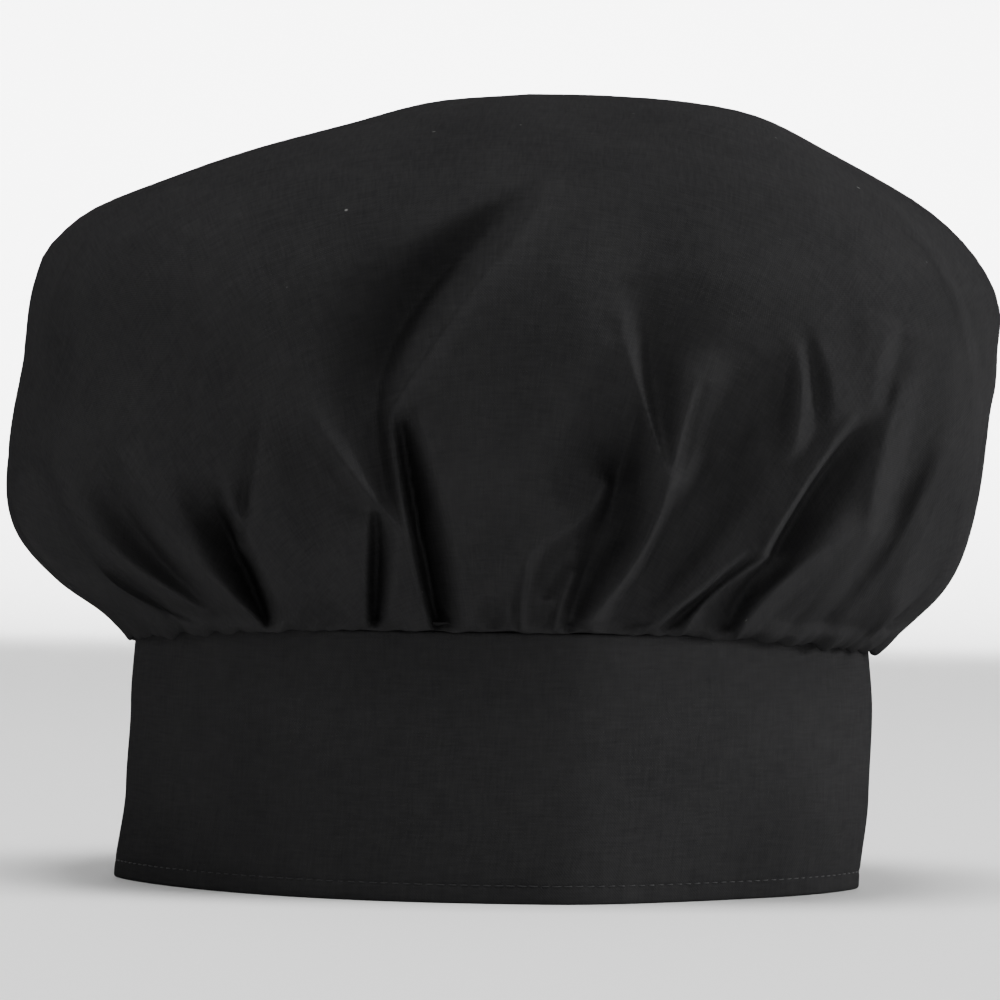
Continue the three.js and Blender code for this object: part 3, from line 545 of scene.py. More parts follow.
for first, turned in ((0, False), (last_column, True)):
    last = first + tape_loop - 1
    for index in range(TAPE_ROWS - 1):
        rim = (first + index, first + index + 1, last - 1 - index, last - index)
        tape_faces.append(tuple(reversed(rim)) if turned else rim)
tape = mesh_piece("tape_patch", tape_points, tape_faces, pile, tape_place)
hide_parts("closure_tape")
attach(tape, "root")

tape_rows = []
tape_left = 2 * math.pi + back_angle(-TAPE_WIDTH / 2 + SEAM_MARGIN)
tape_right = 2 * math.pi + back_angle(TAPE_WIDTH / 2 - SEAM_MARGIN)
tape_ends = np.interp([tape_right, tape_left], strip_angles, strip_runs)
tape_runs = np.arange(tape_ends[0], tape_ends[1] - STITCH_LENGTH, STITCH_PITCH)
tape_lows = np.arange(TAPE_MARGIN + 0.002, TAPE_MARGIN + TAPE_HEIGHT - 0.004, STITCH_PITCH)
for height in (TAPE_MARGIN + SEAM_MARGIN, TAPE_MARGIN + TAPE_HEIGHT - SEAM_MARGIN):
    tape_rows += level_stitches(height, tape_runs, True, STITCH_LIFT)
for angle in (tape_left, tape_right):
    tape_rows += upright_stitches(angle, tape_lows, True)
tape_stitches = stitches("tape_stitches", tape_rows, 12)
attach(tape_stitches, "root")


# The crown
# A big soft bag of the same poplin, cut as a round and gathered to the band's upper edge, with its rim turned
# down inside. It puffs out, sags over the band at the sides, and falls in folds that fan up from the seam.

CROWN_WIDTH = 0.291
CROWN_DEPTH = 0.214
CROWN_RISE = 0.157
CROWN_WALL = 0.0012
SEAM_ALLOWANCE = 0.009
SEAM_GAP = 0.0006
SEAM_ROLL = 0.0006
CROWN_FLATNESS = 3.2
TOP_SHIFT = 0.05
VIEW_DISTANCE = 1.5
EYE_HEIGHT = 0.113
# how far a section has left the seam's ring, its reach to the right, left, front and back as shares of half the
# width or depth, and its rise at the same four places as shares of the crown's rise
CROWN_SECTIONS = np.array(
    [
        (0, 1, 1, 1, 1, 0.004, 0.004, 0.004, 0.004),
        (0.1, 0.94, 0.85, 0.98, 1.29, -0.039, -0.034, 0.01, 0.019),
        (0.38, 0.935, 0.915, 0.91, 1, 0.003, 0.015, 0.045, 0.054),
        (0.68, 0.965, 0.965, 0.91, 0.96, 0.079, 0.073, 0.115, 0.118),
        (0.9, 0.975, 1, 0.925, 0.95, 0.192, 0.167, 0.21, 0.217),
        (1, 0.99, 0.995, 0.95, 0.965, 0.357, 0.293, 0.35, 0.35),
        (1, 1.01, 0.965, 0.975, 0.975, 0.522, 0.471, 0.516, 0.503),
        (1, 1, 0.95, 0.955, 0.935, 0.646, 0.624, 0.656, 0.643),
        (1, 0.855, 0.88, 0.84, 0.83, 0.787, 0.742, 0.771, 0.758),
        (1, 0.615, 0.69, 0.655, 0.645, 0.906, 0.829, 0.866, 0.854),
        (1, 0.425, 0.465, 0.45, 0.44, 0.972, 0.902, 0.933, 0.927),
        (1, 0.2, 0.24, 0.225, 0.225, 0.994, 0.967, 0.979, 0.976),
        (1, 0, 0, 0, 0, 1, 1, 1, 1),
    ]
)
TOP_LEVEL = len(CROWN_SECTIONS) - 1

# Each fold is a line along its crest or its bottom: foot, bend and tip, each (across, up, out), how softly it
# turns there and how far its pull reaches. Across is a share of the side's half width, and up is one of the
# crown's rise. Out, softness and reach are in mm.
FRONT_FOLDS = [
    ((-0.594, 0.018, 3.5), (-0.767, 0.126, 8), (-0.941, 0.267, 3), 0.6, 14),  # left lower ridge
    ((-0.576, -0.015, -7), (-0.763, 0.089, -18), (-0.925, 0.224, -5), 2, 16),  # left lower valley
    ((-0.625, -0.037, 1.5), (-0.746, 0.031, 3), (-0.864, 0.078, 0.5), 1.2, 14),  # left hem ridge
    ((-0.479, 0.001, 3.5), (-0.639, 0.149, 8), (-0.771, 0.316, 1.5), 0.6, 14),  # left upper ridge
    ((-0.527, 0, -5), (-0.706, 0.137, -14), (-0.817, 0.338, -3), 3, 16),  # left upper valley
    ((-0.458, -0.019, -13), (-0.531, 0.117, -26), (-0.58, 0.221, -10), 0.3, 9),  # left pocket
    ((-0.41, -0.026, 1), (-0.479, 0.114, 2.5), (-0.544, 0.233, 1.5), 0.6, 12),  # left pocket rim
    ((-0.529, -0.033, -4), (-0.552, -0.009, -6), (-0.582, 0.013, 0), 0.6, 5),  # left slit
    ((-0.523, 0.145, -3), (-0.511, 0.267, -6), (-0.487, 0.422, 0), 0.8, 8),  # thin crease
    ((-0.505, 0.145, 1), (-0.489, 0.287, 2), (-0.471, 0.422, 0.5), 0.8, 8),  # thin crease rim
    ((-0.333, -0.027, -4), (-0.357, -0.003, -6), (-0.398, 0.008, 0), 1, 6),  # small pouch
    ((-0.252, 0.192, -6), (-0.351, 0.274, -9), (-0.426, 0.374, -1.5), 4, 18),  # brow valley
    ((-0.189, 0.163, 4), (-0.284, 0.267, 5.5), (-0.398, 0.408, 1), 0.8, 16),  # brow ridge
    ((-0.249, -0.024, -8), (-0.247, 0.083, -16), (-0.247, 0.204, -7), 0.3, 8),  # under brow pocket
    ((-0.264, -0.024, 0), (-0.266, 0.083, 1), (-0.264, 0.2, 1.5), 0.8, 8),  # under brow left
    ((-0.223, -0.014, 1), (-0.207, 0.075, 2), (-0.199, 0.163, 2.5), 0.8, 10),  # under brow right
    ((-0.13, -0.02, 3), (-0.187, 0.188, 5), (-0.219, 0.392, 2), 0.7, 12),  # neck ridge
    ((-0.116, -0.02, -14), (-0.166, 0.197, -22), (-0.199, 0.37, -9), 0.3, 11),  # long pocket
    ((-0.057, -0.004, 0.5), (-0.097, 0.198, 1.5), (-0.172, 0.391, 1.5), 0.8, 12),  # long pocket rim
    ((-0.252, 0.418, -13), (-0.17, 0.611, -18), (0.049, 0.794, -6), 3.5, 20),  # great valley
    ((-0.227, 0.234, -8), (-0.243, 0.324, -11), (-0.252, 0.418, -13), 3, 14),  # great valley low
    ((-0.215, 0.407, 4), (-0.103, 0.57, 5.5), (0.087, 0.814, 1.5), 0.6, 16),  # great rim
    ((-0.199, 0.738, 1), (-0.047, 0.806, 2), (0.126, 0.844, 0.5), 3.5, 20),  # great brow
    ((-0.093, 0.527, 1.4), (0.065, 0.55, 2.1), (0.219, 0.532, 1.4), 5.5, 22),  # panel bend
    ((-0.002, -0.018, -3), (-0.002, 0.016, -5), (0.004, 0.053, 0), 1, 5),  # small dark
    ((0.041, -0.014, -3), (0.043, 0.041, -4), (0.051, 0.097, -1), 0.4, 4),  # panel hem crease
    ((0.051, -0.014, 3), (0.055, 0.103, 4), (0.097, 0.171, 3), 0.6, 10),  # panel hem ridge
    ((0.097, 0.171, 3), (0.166, 0.202, 2), (0.215, 0.265, 0.5), 0.8, 10),  # panel side ridge
    ((0.101, -0.009, -2), (0.105, 0.017, -4), (0.103, 0.044, 0), 0.8, 4),  # hem pucker
    ((0.219, 0.175, -15), (0.243, 0.279, -17), (0.284, 0.42, -3), 1.5, 14),  # wedge valley
    ((0.146, -0.008, -9), (0.17, 0.075, -13), (0.219, 0.175, -15), 2, 12),  # wedge streak
    ((0.097, -0.009, -3), (0.101, 0.059, -6), (0.138, 0.134, -8), 2.5, 10),  # wedge low
    ((0.12, -0.009, 1), (0.132, 0.04, 1), (0.154, 0.099, -3), 0.8, 7),  # wedge small ridge
    ((0.345, 0.28, 4), (0.298, 0.402, 2.5), (0.239, 0.57, 0), 0.5, 8),  # fork left ridge
    ((0.345, 0.28, 4), (0.371, 0.375, 3), (0.4, 0.465, 0), 0.5, 8),  # fork right ridge
    ((0.187, 0.011, 3), (0.298, 0.152, 6), (0.345, 0.28, 5), 0.9, 14),  # fork stem
    ((0.341, 0.314, -4), (0.314, 0.449, -11), (0.296, 0.665, -3), 2.5, 18),  # fork valley
    ((0.377, 0.315, -4), (0.391, 0.384, -6), (0.414, 0.462, -1), 1.2, 9),  # fork right valley
    ((0.252, 0.042, -6), (0.398, 0.243, -15), (0.564, 0.509, -2), 4, 24),  # broad valley
    ((0.298, 0.073, -5), (0.345, 0.149, -8), (0.377, 0.251, -6), 2, 12),  # stem valley
    ((0.592, 0.331, 1), (0.611, 0.435, 4.5), (0.598, 0.536, 0.5), 0.7, 10),  # blade ridge
    ((0.548, 0.349, -5), (0.568, 0.43, -7), (0.582, 0.509, -1), 3, 12),  # blade left valley
    ((0.641, 0.36, -1.5), (0.641, 0.444, -4), (0.625, 0.566, -0.3), 2.5, 10),  # blade right valley
    ((0.686, 0.398, 0.5), (0.669, 0.482, 2.5), (0.625, 0.581, 0.3), 1, 8),  # blade right rim
    ((0.535, 0.144, 5), (0.617, 0.273, 8), (0.718, 0.397, 2), 0.6, 14),  # long rim
    ((0.556, 0.129, -11), (0.637, 0.262, -16), (0.734, 0.386, -3), 1, 12),  # long rim valley
    ((0.483, -0.02, 3), (0.578, 0.09, 6), (0.751, 0.204, 1), 0.8, 14),  # long lower ridge
    ((0.521, -0.022, -4), (0.625, 0.078, -8), (0.742, 0.151, -4), 2.5, 14),  # long lower valley
    ((0.304, -0.006, 2), (0.389, 0.059, 3), (0.507, 0.149, 2), 0.6, 8),  # twin rim
    ((0.323, -0.015, -6), (0.418, 0.056, -9), (0.525, 0.142, -2), 0.8, 8),  # twin valley
    ((0.379, -0.012, 2), (0.438, 0.064, 3.5), (0.544, 0.139, 4), 0.6, 8),  # twin ridge
    ((0.467, -0.02, -8), (0.491, 0.053, -13), (0.552, 0.127, -10), 1.2, 10),  # twin pocket
    ((0.751, 0.198, 5), (0.775, 0.315, 7), (0.815, 0.441, 2), 1.5, 14),  # side panel ridge
    ((0.738, 0.108, -6), (0.819, 0.278, -14), (0.868, 0.485, -3), 5, 20),  # side valley
    ((0.757, -0.016, 4), (0.866, 0.132, 9), (0.931, 0.296, 3), 0.8, 14),  # side rim
    ((0.783, -0.014, -5), (0.888, 0.112, -9), (0.933, 0.223, -2), 1.5, 10),  # side rim valley
    ((0.759, 0.44, 1), (0.775, 0.522, 3.5), (0.799, 0.59, 0.4), 1, 8),  # short ridge
    ((0.787, 0.437, -2), (0.803, 0.503, -6), (0.819, 0.562, 0), 1.6, 9),  # short valley
    ((0.649, -0.044, -2), (0.704, -0.024, -6), (0.761, -0.01, -2), 0.8, 6),  # hem wedge
    ((0.617, -0.037, -3), (0.588, -0.017, -6), (0.548, 0.016, -1), 1.2, 6),  # hem dimple
    ((0.247, -0.009, -4), (0.28, 0.009, -5), (0.32, 0.007, -1), 0.6, 5),  # hem slit
    ((0.961, 0.365, 0.5), (0.913, 0.642, 5), (0.746, 0.831, 1), 0.5, 12),  # right edge rim
    ((0.984, 0.384, -2), (0.945, 0.631, -13), (0.791, 0.828, -5), 1.2, 10),  # right edge valley
    ((-0.905, 0.543, 0.5), (-0.856, 0.672, 1.5), (-0.789, 0.761, 0.3), 0.9, 10),  # left edge rim
    ((-0.937, 0.464, -1), (-0.886, 0.656, -6), (-0.809, 0.759, -1), 2, 10),  # left edge valley
]
RIGHT_FOLDS = [
    ((-0.44, 0, -3), (-0.5, 0.14, -6), (-0.6, 0.34, 0), 3, 18),
    ((-0.3, 0, 0.75), (-0.34, 0.17, 1.5), (-0.36, 0.42, 0.25), 2, 14),
    ((-0.17, 0, -5), (-0.22, 0.2, -9), (-0.1, 0.47, -0.5), 3, 18),
    ((-0.04, 0, 0.75), (-0.03, 0.16, 1.5), (0.02, 0.37, 0.25), 1.5, 14),
    ((0.1, -0.01, -5), (0.16, 0.13, -7), (0.12, 0.31, -1), 2, 18),
    ((0.19, 0, 0.5), (0.27, 0.16, 1.5), (0.27, 0.4, 0.25), 1.5, 14),
    ((0.33, 0, -6), (0.42, 0.2, -9), (0.5, 0.53, -0.5), 4, 18),
    ((0.46, 0, 0.75), (0.58, 0.18, 1.5), (0.7, 0.4, 0.25), 2, 14),
    ((-0.06, 0.6, -1), (0.12, 0.77, -6), (0.42, 0.86, 0), 6, 24),
    ((0, 0.57, 0.25), (0.2, 0.72, 1), (0.46, 0.8, 0.15), 3, 14),
]
BACK_FOLDS = [
    ((-0.75, 0.02, -3), (-0.84, 0.14, -5), (-0.9, 0.3, -0.5), 3, 18),
    ((-0.68, 0, 1.5), (-0.8, 0.16, 3), (-0.86, 0.36, 0.5), 1.5, 14),
    ((-0.6, 0, -5), (-0.72, 0.18, -8), (-0.76, 0.46, -0.5), 3, 18),
    ((-0.54, 0, 1.5), (-0.63, 0.14, 3), (-0.64, 0.34, 0.5), 1.5, 14),
    ((-0.47, 0, -5), (-0.52, 0.11, -6.5), (-0.57, 0.24, -1), 2, 18),
    ((-0.41, 0, 1.5), (-0.46, 0.18, 3), (-0.47, 0.44, 0.5), 1.5, 14),
    ((-0.34, 0, -6), (-0.4, 0.24, -10), (-0.3, 0.6, -0.5), 4, 18),
    ((-0.27, 0, 1.5), (-0.3, 0.2, 3), (-0.17, 0.56, 1), 1.5, 14),
    ((-0.19, -0.01, -5), (-0.2, 0.09, -7), (-0.24, 0.22, -1), 1.5, 18),
    ((-0.12, 0, 1.5), (-0.15, 0.16, 3), (-0.1, 0.38, 0.5), 1.5, 14),
    ((-0.06, 0, -6), (-0.09, 0.2, -10), (0.03, 0.46, -0.5), 2.5, 18),
    ((0.02, 0, 1.5), (0.02, 0.16, 3), (0.1, 0.36, 0.5), 1.5, 14),
    ((0.09, 0, -5), (0.12, 0.11, -6), (0.13, 0.26, -1), 2, 18),
    ((0.16, 0, 1.5), (0.2, 0.2, 3), (0.17, 0.5, 0.5), 1.5, 14),
    ((0.23, 0, -6), (0.3, 0.28, -10), (0.22, 0.7, -0.5), 5, 24),
    ((0.31, 0, 1.5), (0.38, 0.18, 3), (0.38, 0.44, 0.5), 1.5, 14),
    ((0.38, -0.01, -5), (0.44, 0.11, -7), (0.48, 0.28, -1), 1.5, 18),
    ((0.45, 0, 1.5), (0.54, 0.18, 3), (0.58, 0.4, 0.5), 1.5, 14),
    ((0.52, 0, -5), (0.64, 0.2, -8), (0.67, 0.48, -0.5), 3, 18),
    ((0.59, 0, 1.5), (0.72, 0.16, 3), (0.78, 0.36, 0.5), 1.5, 14),
    ((0.66, 0, -4), (0.78, 0.12, -6), (0.86, 0.28, -0.5), 2, 18),
    ((-0.5, 0.66, 0), (-0.2, 0.82, -4), (0.06, 0.86, 0), 8, 24),
    ((0.3, 0.84, 0), (0.48, 0.76, -4), (0.62, 0.6, 0), 7, 24),
]
LEFT_FOLDS = [
    ((-0.4, 0, -5), (-0.5, 0.16, -8), (-0.52, 0.43, -0.5), 4, 18),
    ((-0.26, 0, 0.45), (-0.34, 0.16, 0.9), (-0.37, 0.38, 0.15), 1.5, 14),
    ((-0.13, -0.01, -5), (-0.2, 0.14, -7), (-0.3, 0.32, -1), 2, 18),
    ((-0.02, 0, 0.45), (-0.03, 0.18, 0.9), (-0.12, 0.42, 0.15), 1.5, 14),
    ((0.12, 0, -5), (0.14, 0.2, -9), (0, 0.5, -0.5), 3, 18),
    ((0.24, 0, 0.45), (0.3, 0.18, 0.9), (0.24, 0.46, 0.15), 2, 14),
    ((0.37, 0, -4), (0.45, 0.12, -6), (0.56, 0.3, -0.5), 2.5, 18),
    ((0.48, 0, 0.3), (0.6, 0.14, 0.75), (0.72, 0.3, 0.15), 2, 14),
    ((-0.3, 0.66, -1), (-0.05, 0.78, -6), (0.3, 0.8, 0), 6, 24),
    ((-0.22, 0.6, 0.15), (0, 0.7, 0.6), (0.3, 0.72, 0.09), 3, 14),
]
# the angle of each side of the hat, half its width, its folds, and how squarely it must face to show them
SIDES = [
    (math.radians(270), CROWN_WIDTH / 2, FRONT_FOLDS, 0.08, 0.35),
    (0.0, CROWN_DEPTH / 2, RIGHT_FOLDS, 0.6, 0.85),
    (math.radians(90), CROWN_WIDTH / 2, BACK_FOLDS, 0.1, 0.4),
    (math.radians(180), CROWN_DEPTH / 2, LEFT_FOLDS, 0.6, 0.85),
]
FOLD_STEPS = 18
PULL_END = 2.6  # a line's pull is as good as nothing this many times farther off than its reach
FOLD_GRIP = 0.004  # beyond this distance a line's hold on the cloth falls off faster
FOLD_ROOM = 0.004  # how far above the band's edge the folds reach their full depth
FREE_CLOTH = 0.016  # how near a line has to be to hold the cloth as firmly as the rest of the crown does
FAR_OFF = 9.0
MM = 0.001
# count round the seam, phase and depth in mm of each set of gathers
GATHERS = [(30, 0.4, 1.1), (46, 2.1, 0.9), (74, 4.0, 0.6), (118, 1.2, 0.35)]
SKIN_STEP = 0.03
FRONT_CLOSENESS = 0.58  # how much closer the columns stand at the front than all round
CROWN_COLUMNS = 540
HIGH_FROM = 7  # above this level the folds are broad, and the rows stand farther apart
TOP_GAP = 0.12  # from the last row to the top, in levels
INNER_STEP = 3  # the inner skin has a row for each so many of the outer one's


def along_rows(column, level):
    """One column of the sections, drawn smoothly through them."""
    rows = CROWN_SECTIONS[:, column]
    row = np.clip(np.floor(level).astype(int), 0, TOP_LEVEL - 1)
    share = level - row
    before = rows[np.clip(row - 1, 0, TOP_LEVEL)]
    start = rows[row]
    end = rows[row + 1]
    after = rows[np.clip(row + 2, 0, TOP_LEVEL)]
    start_slope = (end - before) / 2
    end_slope = (after - start) / 2
    rise = end - start
    bend = 3 * rise - 2 * start_slope - end_slope + share * (start_slope + end_slope - 2 * rise)
    return start + share * (start_slope + share * bend)


def crown_plain(angle, level):
    """The crown's form without its folds."""
    cosine = np.cos(angle)
    sine = np.sin(angle)
    own = along_rows(0, level)
    side = np.where(cosine > 0, along_rows(1, level), along_rows(2, level))
    end = np.where(sine > 0, along_rows(4, level), along_rows(3, level))
    side_rise = np.where(cosine > 0, along_rows(5, level), along_rows(6, level))
    end_rise = np.where(sine > 0, along_rows(8, level), along_rows(7, level))
    lean = TOP_SHIFT * ease(TOP_LEVEL / 2, TOP_LEVEL, level)
    own_x = CROWN_WIDTH / 2 * (side * cosine + lean)
    bulge = np.sign(sine) * np.sqrt(np.maximum(0, 1 - np.abs(cosine) ** CROWN_FLATNESS))
    own_y = CROWN_DEPTH / 2 * end * bulge
    ring = ring_points(angle, BAND_HEIGHT, CLEARANCE)
    rise = end_rise + (side_rise - end_rise) * cosine**2
    x = ring[..., 0] + (own_x - ring[..., 0]) * own
    y = ring[..., 1] + (own_y - ring[..., 1]) * own
    return np.stack([x, y, BAND_HEIGHT + rise * CROWN_RISE], axis=-1)


def side_folds(folds, half, across, up):
    """How far the cloth stands out at places of a side's chart, drawn between the fold lines near each."""
    pull = np.zeros(across.shape)
    hold = np.full(across.shape, 1 / (FREE_CLOTH * (1 + FREE_CLOTH / FOLD_GRIP)))
    share = np.linspace(0, 1, FOLD_STEPS + 1)[:, None]
    for foot, bend, tip, softness, pull_reach in folds:
        line = (
            (1 - share) * (1 - 2 * share) * np.array(foot)
            + 4 * share * (1 - share) * np.array(bend)
            + share * (2 * share - 1) * np.array(tip)
        ) * np.array([half, CROWN_RISE, MM])
        reach = pull_reach * MM
        end = PULL_END * reach
        close = (
            (across > line[:, 0].min() - end)
            & (across < line[:, 0].max() + end)
            & (up > line[:, 1].min() - end)
            & (up < line[:, 1].max() + end)
        )
        spots = np.stack([across[close], up[close]], axis=-1)
        nearest = np.full(len(spots), FAR_OFF)
        height = np.zeros(len(spots))
        for step in range(FOLD_STEPS):
            way = line[step + 1, :2] - line[step, :2]
            off = spots - line[step, :2]
            part = np.clip(off @ way / (way @ way), 0, 1)
            distance = np.linalg.norm(off - part[:, None] * way, axis=1)
            closer = distance < nearest
            nearest = np.where(closer, distance, nearest)
            rise = line[step + 1, 2] - line[step, 2]
            height = np.where(closer, line[step, 2] + part * rise, height)
        weight = np.exp(-((nearest / reach) ** 2))
        weight /= np.hypot(nearest, softness * MM) * (1 + nearest / FOLD_GRIP)
        pull[close] += weight * height
        hold[close] += weight
    return pull / hold


def folds_move(points, angle):
    """How far the folds move the cloth towards the viewer of each side."""
    moves = np.zeros((len(SIDES),) + points.shape[:-1])
    for move, (turn, half, folds, seen_from, seen_full) in zip(moves, SIDES):
        seen = ease(seen_from, seen_full, np.cos(angle - turn))
        toward = points[..., 0] * math.cos(turn) + points[..., 1] * math.sin(turn)
        across = points[..., 1] * math.cos(turn) - points[..., 0] * math.sin(turn)
        closer = VIEW_DISTANCE / (VIEW_DISTANCE - toward)
        up = (points[..., 2] - EYE_HEIGHT) * closer + EYE_HEIGHT - BAND_HEIGHT
        shown = seen > 0
        move[shown] = seen[shown] * side_folds(folds, half, (across * closer)[shown], up[shown])
    # cloth can only fall in where it has risen clear of the band
    room = ease(BAND_HEIGHT - 0.001, BAND_HEIGHT + FOLD_ROOM, points[..., 2])
    return np.where(moves < 0, moves * room, moves)


def crown_skin(angle, level):
    """The crown's plain skin, the way out of it, how far the folds move it, and its small unevenness."""
    points = crown_plain(angle, level)
    around_step = crown_plain(angle + SKIN_STEP, level) - crown_plain(angle - SKIN_STEP, level)
    up_step = crown_plain(angle, level + SKIN_STEP) - crown_plain(angle, level - SKIN_STEP)
    out = np.cross(around_step, up_step)
    out /= np.maximum(1e-12, np.linalg.norm(out, axis=-1, keepdims=True))
    folds = folds_move(points, angle) * ease(0.1, 1.1, level) * (1 - ease(TOP_LEVEL - 2, TOP_LEVEL, level))
    gathers = np.zeros(points.shape[:-1])
    for count, phase, depth in GATHERS:
        swing = 1 + 0.5 * np.sin(angle * 7 + phase * 3)
        fade = np.exp(-np.maximum(0, level - 1) * count / 60)
        gathers += depth * MM * swing * (np.abs(np.sin(count / 2 * angle + phase)) - 0.6) * fade
    gathers *= ease(0.2, 1.0, level)
    soft = 0.0005 * np.sin(3.0 * angle + 1.7 * level + 0.5) * np.sin(1.3 * level + 2.0 * np.sin(2 * angle))
    soft += 0.0003 * np.sin(9 * angle - 1.1 * level + 1.0) * np.sin(2.1 * level + 0.3)
    soft *= ease(2, 4, level) * (1 - ease(TOP_LEVEL - 1.5, TOP_LEVEL, level))
    return points, out, folds, gathers + soft


def lay_folds(points, moves):
    """Moves points by each side's folds, straight towards that side's viewer."""
    folded = points.copy()
    for move, (turn, *_) in zip(moves, SIDES):
        folded[..., 0] += move * math.cos(turn)
        folded[..., 1] += move * math.sin(turn)
    return folded


def crown_angles(columns):
    """Angles all round, closer together at the front."""
    even = np.arange(columns) / columns * 2 * math.pi
    return even - FRONT_CLOSENESS * np.cos(even)


seam_levels = np.arange(0, 2, 0.1)
fold_levels = np.arange(2, HIGH_FROM, 0.05)
high_levels = np.linspace(HIGH_FROM, TOP_LEVEL - TOP_GAP, 26)
crown_levels = np.concatenate([seam_levels, fold_levels, high_levels])
crown_angle = crown_angles(CROWN_COLUMNS)[None, :] + 0 * crown_levels[:, None]
skin, skin_out, skin_folds, skin_uneven = crown_skin(crown_angle, crown_levels[:, None] + 0 * crown_angle)
outer = lay_folds(skin, skin_folds) + skin_out * skin_uneven[..., None]
# the gathered cloth rolls a little way over the band's edge, more in some places than in others
unevenness = 0.40 * np.sin(29 * crown_angle) + 0.25 * np.sin(67 * crown_angle + 2)
unevenness += 0.12 * np.sin(107 * crown_angle)
roll = SEAM_ROLL * (1 + unevenness)
roll *= 1 - ease(0, 1.3, crown_levels[:, None])
outer[..., 2] -= roll
edge_out = ring_points(crown_angle, BAND_HEIGHT, 1.0) - ring_points(crown_angle, BAND_HEIGHT, 0.0)
outer += edge_out * roll[..., None] * 0.5
allowance = [
    ring_points(crown_angle[0], BAND_HEIGHT - SEAM_ALLOWANCE, -BAND_WALL - SEAM_GAP),
    ring_points(crown_angle[0], BAND_HEIGHT - SEAM_ALLOWANCE / 2, -BAND_WALL - SEAM_GAP),
    ring_points(crown_angle[0], BAND_HEIGHT, -BAND_WALL - SEAM_GAP),
    ring_points(crown_angle[0], BAND_HEIGHT + CLEARANCE, -BAND_WALL / 2),
]
outer = np.concatenate([np.stack(allowance), outer])

# the inner skin follows the deepest of the cloth around each place, so that it never comes through
deepest = skin_folds
for shift in (-2, -1, 1, 2):
    deepest = np.minimum(deepest, np.roll(skin_folds, shift, axis=2))
padded_rows = np.pad(deepest, ((0, 0), (2, 2), (0, 0)), mode="edge")
for shift in range(5):
    deepest = np.minimum(deepest, padded_rows[:, shift : shift + len(crown_levels)])
inner_rows = np.append(np.arange(0, len(crown_levels) - 1, INNER_STEP), len(crown_levels) - 1)
inner = (lay_folds(skin, deepest) - skin_out * CROWN_WALL * 1.5)[inner_rows][:, ::2]
inner_allowance = np.stack(allowance)[:, ::2] - edge_out[0, ::2] * CROWN_WALL
inner = np.concatenate([inner_allowance, inner])


def cloth_round(points):
    """Each point's place on the flat round that the crown was cut from."""
    steps = np.linalg.norm(np.diff(points, axis=0), axis=-1).mean(axis=1)
    from_top = np.concatenate([np.cumsum(steps[::-1])[::-1], [0]])[:, None] + 0.004
    angle = crown_angles(points.shape[1])[None, :]
    return np.stack([from_top * np.cos(angle), from_top * np.sin(angle), 0 * from_top * angle], axis=-1)


def loops_faces(first, rows, columns, turned):
    """Faces between closed loops of points, turned inside out or not."""
    faces = []
    for row in range(rows - 1):
        for column in range(columns):
            following = (column + 1) % columns
            low = first + row * columns
            high = low + columns
            face = (low + column, low + following, high + following, high + column)
            faces.append(tuple(reversed(face)) if turned else face)
    return faces


crown_top = crown_plain(np.array([0.0]), np.array([float(TOP_LEVEL)]))[0]
poles = [crown_top, crown_top - np.array([0, 0, CROWN_WALL])]
crown_points = np.concatenate([outer.reshape(-1, 3), inner.reshape(-1, 3), poles])
outer_rows, outer_columns = outer.shape[:2]
inner_count, inner_columns = inner.shape[:2]
inner_first = outer_rows * outer_columns
pole_outer = inner_first + inner_count * inner_columns
pole_inner = pole_outer + 1
crown_faces = loops_faces(0, outer_rows, outer_columns, False)
crown_faces += loops_faces(inner_first, inner_count, inner_columns, True)
last_outer = (outer_rows - 1) * outer_columns
last_inner = inner_first + (inner_count - 1) * inner_columns
for column in range(outer_columns):
    crown_faces.append((last_outer + column, last_outer + (column + 1) % outer_columns, pole_outer))
for column in range(inner_columns):
    crown_faces.append((last_inner + (column + 1) % inner_columns, last_inner + column, pole_inner))
    # the mouth's edge, where two steps of the outer skin meet one of the inner
    following = (column + 1) % inner_columns
    left = 2 * column
    middle = 2 * column + 1
    right = (2 * column + 2) % outer_columns
    crown_faces.append((inner_first + column, middle, left))
    crown_faces.append((inner_first + column, inner_first + following, middle))
    crown_faces.append((inner_first + following, right, middle))
crown_place = np.concatenate(
    [cloth_round(outer).reshape(-1, 3), cloth_round(inner).reshape(-1, 3), np.zeros((2, 3))]
)
crown_cloth = black_poplin("crown_poplin")
crown = mesh_piece("crown_cloth", crown_points + HAT_SHIFT, crown_faces, crown_cloth, crown_place)
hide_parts("crown")
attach(crown, "root")


# The studio
# A plain pale floor that sweeps up behind the hat. A soft key light stands low on the right, another hangs
# overhead, and weak ones stand around. The camera is a metre and a half in front, at half the hat's height.

FLOOR_WHITE = (0.9, 0.9, 0.9, 1)
SWEEP_RADIUS = 1.2
SWEEP_START = 2.6  # clear of a camera behind the hat
SWEEP_STEPS = 24
FLOOR_REACH = 6.0
WALL_HEIGHT = 5.0
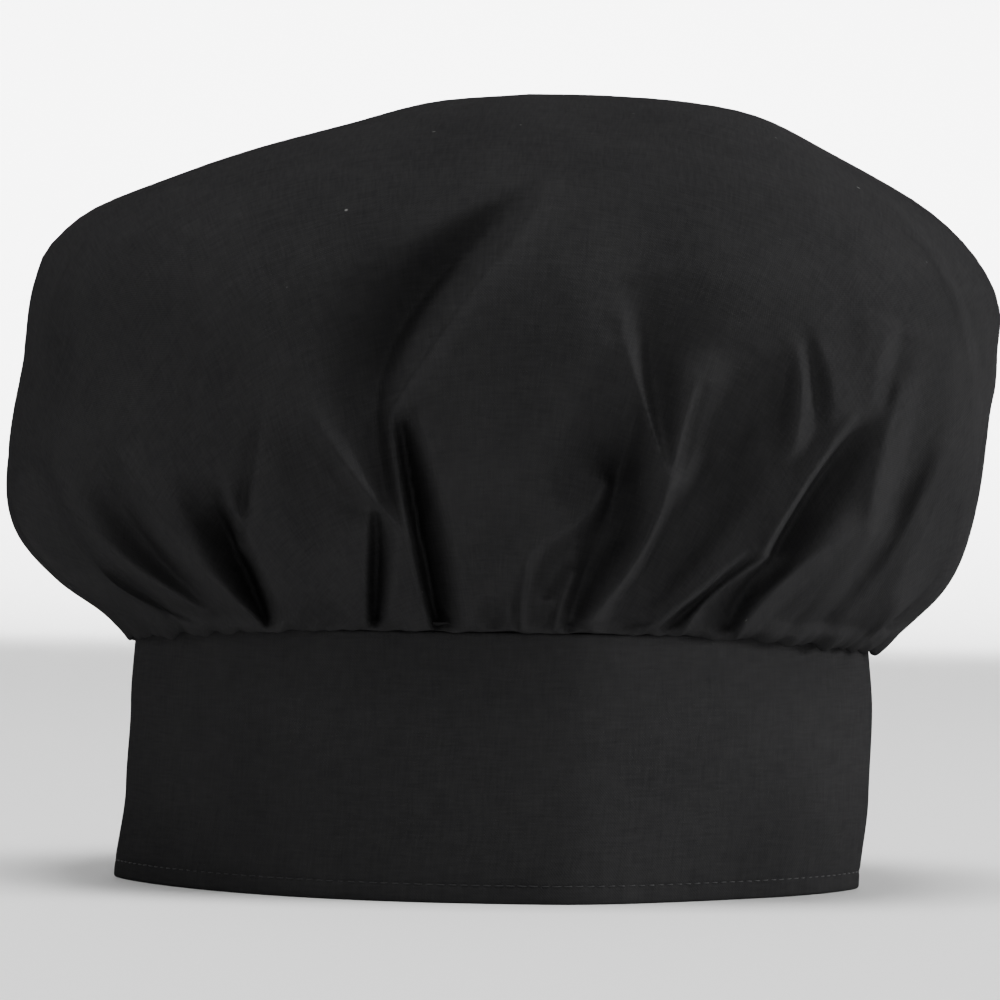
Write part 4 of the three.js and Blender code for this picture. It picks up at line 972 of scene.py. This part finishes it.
# place, what it points at, size and power in watts
LIGHTS = {
    "key_light": ((3.0, -0.1, 0.4), (0, 0, 0.12), (0.9, 0.9), 126),
    "high_light": ((2.2, -0.4, 2.4), (0, 0, 0.12), (0.9, 0.9), 8),
    "top_light": ((0, -0.6, 3.0), (0, 0, 0.15), (1.2, 1.2), 88),
    "front_light": ((0.3, -2.8, 0.5), (0, 0, 0.12), (1.2, 1.2), 14),
    "left_light": ((-3.0, -0.4, 1.2), (0, 0, 0.12), (1.2, 1.2), 18),
    "backdrop_light": ((0, 1.9, 2.2), (0, 3.6, 0.4), (3.2, 0.6), 120),
}
CAMERA_ROLL = math.radians(0.92)
CAMERA_ACROSS = 0.295  # what the picture's width takes in at the hat
CAMERA_ASIDE = 0.0006
AIR_BRIGHTNESS = 0.42
BACKDROP_SPREAD = math.radians(70)

floor_paint = bpy.data.materials.new("floor_paint")
floor_paint.use_nodes = True
floor_shader = floor_paint.node_tree.nodes["Principled BSDF"]
floor_shader.inputs["Base Color"].default_value = FLOOR_WHITE
floor_shader.inputs["Roughness"].default_value = 0.9
floor_shader.inputs["Specular IOR Level"].default_value = 0.0

profile = [(-FLOOR_REACH, 0.0), (SWEEP_START, 0.0)]
for step in range(1, SWEEP_STEPS + 1):
    turn = math.pi / 2 * step / SWEEP_STEPS
    profile.append((SWEEP_START + SWEEP_RADIUS * math.sin(turn), SWEEP_RADIUS * (1 - math.cos(turn))))
profile.append((SWEEP_START + SWEEP_RADIUS, WALL_HEIGHT))
floor_points = [(x, y, z) for y, z in profile for x in (-FLOOR_REACH, FLOOR_REACH)]
floor_faces = [(low, low + 1, low + 3, low + 2) for low in range(0, len(floor_points) - 2, 2)]
floor = mesh_piece("studio_floor", floor_points, floor_faces, floor_paint)


def soft_light(name, place, target, size, power):
    lamp = bpy.data.lights.new(name, "AREA")
    lamp.shape = "RECTANGLE"
    lamp.size = size[0]
    lamp.size_y = size[1]
    lamp.energy = power
    light = bpy.data.objects.new(name, lamp)
    light.location = place
    light.rotation_euler = (Vector(target) - Vector(place)).to_track_quat("-Z", "Y").to_euler()
    bpy.context.scene.collection.objects.link(light)
    return light


lights = {name: soft_light(name, *values) for name, values in LIGHTS.items()}
lights["backdrop_light"].data.spread = BACKDROP_SPREAD

world = bpy.data.worlds.new("studio_air")
bpy.context.scene.world = world
world.use_nodes = True
air = world.node_tree.nodes["Background"]
air.inputs["Color"].default_value = (1, 1, 1, 1)
air.inputs["Strength"].default_value = AIR_BRIGHTNESS

lens = bpy.data.cameras.new("photo_camera")
lens.lens = lens.sensor_width * VIEW_DISTANCE / CAMERA_ACROSS
lens.clip_start = 0.01
lens.clip_end = 30
camera = bpy.data.objects.new("photo_camera", lens)
turned = Matrix.Rotation(math.radians(90), 4, "X") @ Matrix.Rotation(CAMERA_ROLL, 4, "Z")
camera.matrix_world = Matrix.Translation((HAT_SHIFT[0] + CAMERA_ASIDE, -VIEW_DISTANCE, EYE_HEIGHT)) @ turned
bpy.context.scene.collection.objects.link(camera)
bpy.context.scene.camera = camera
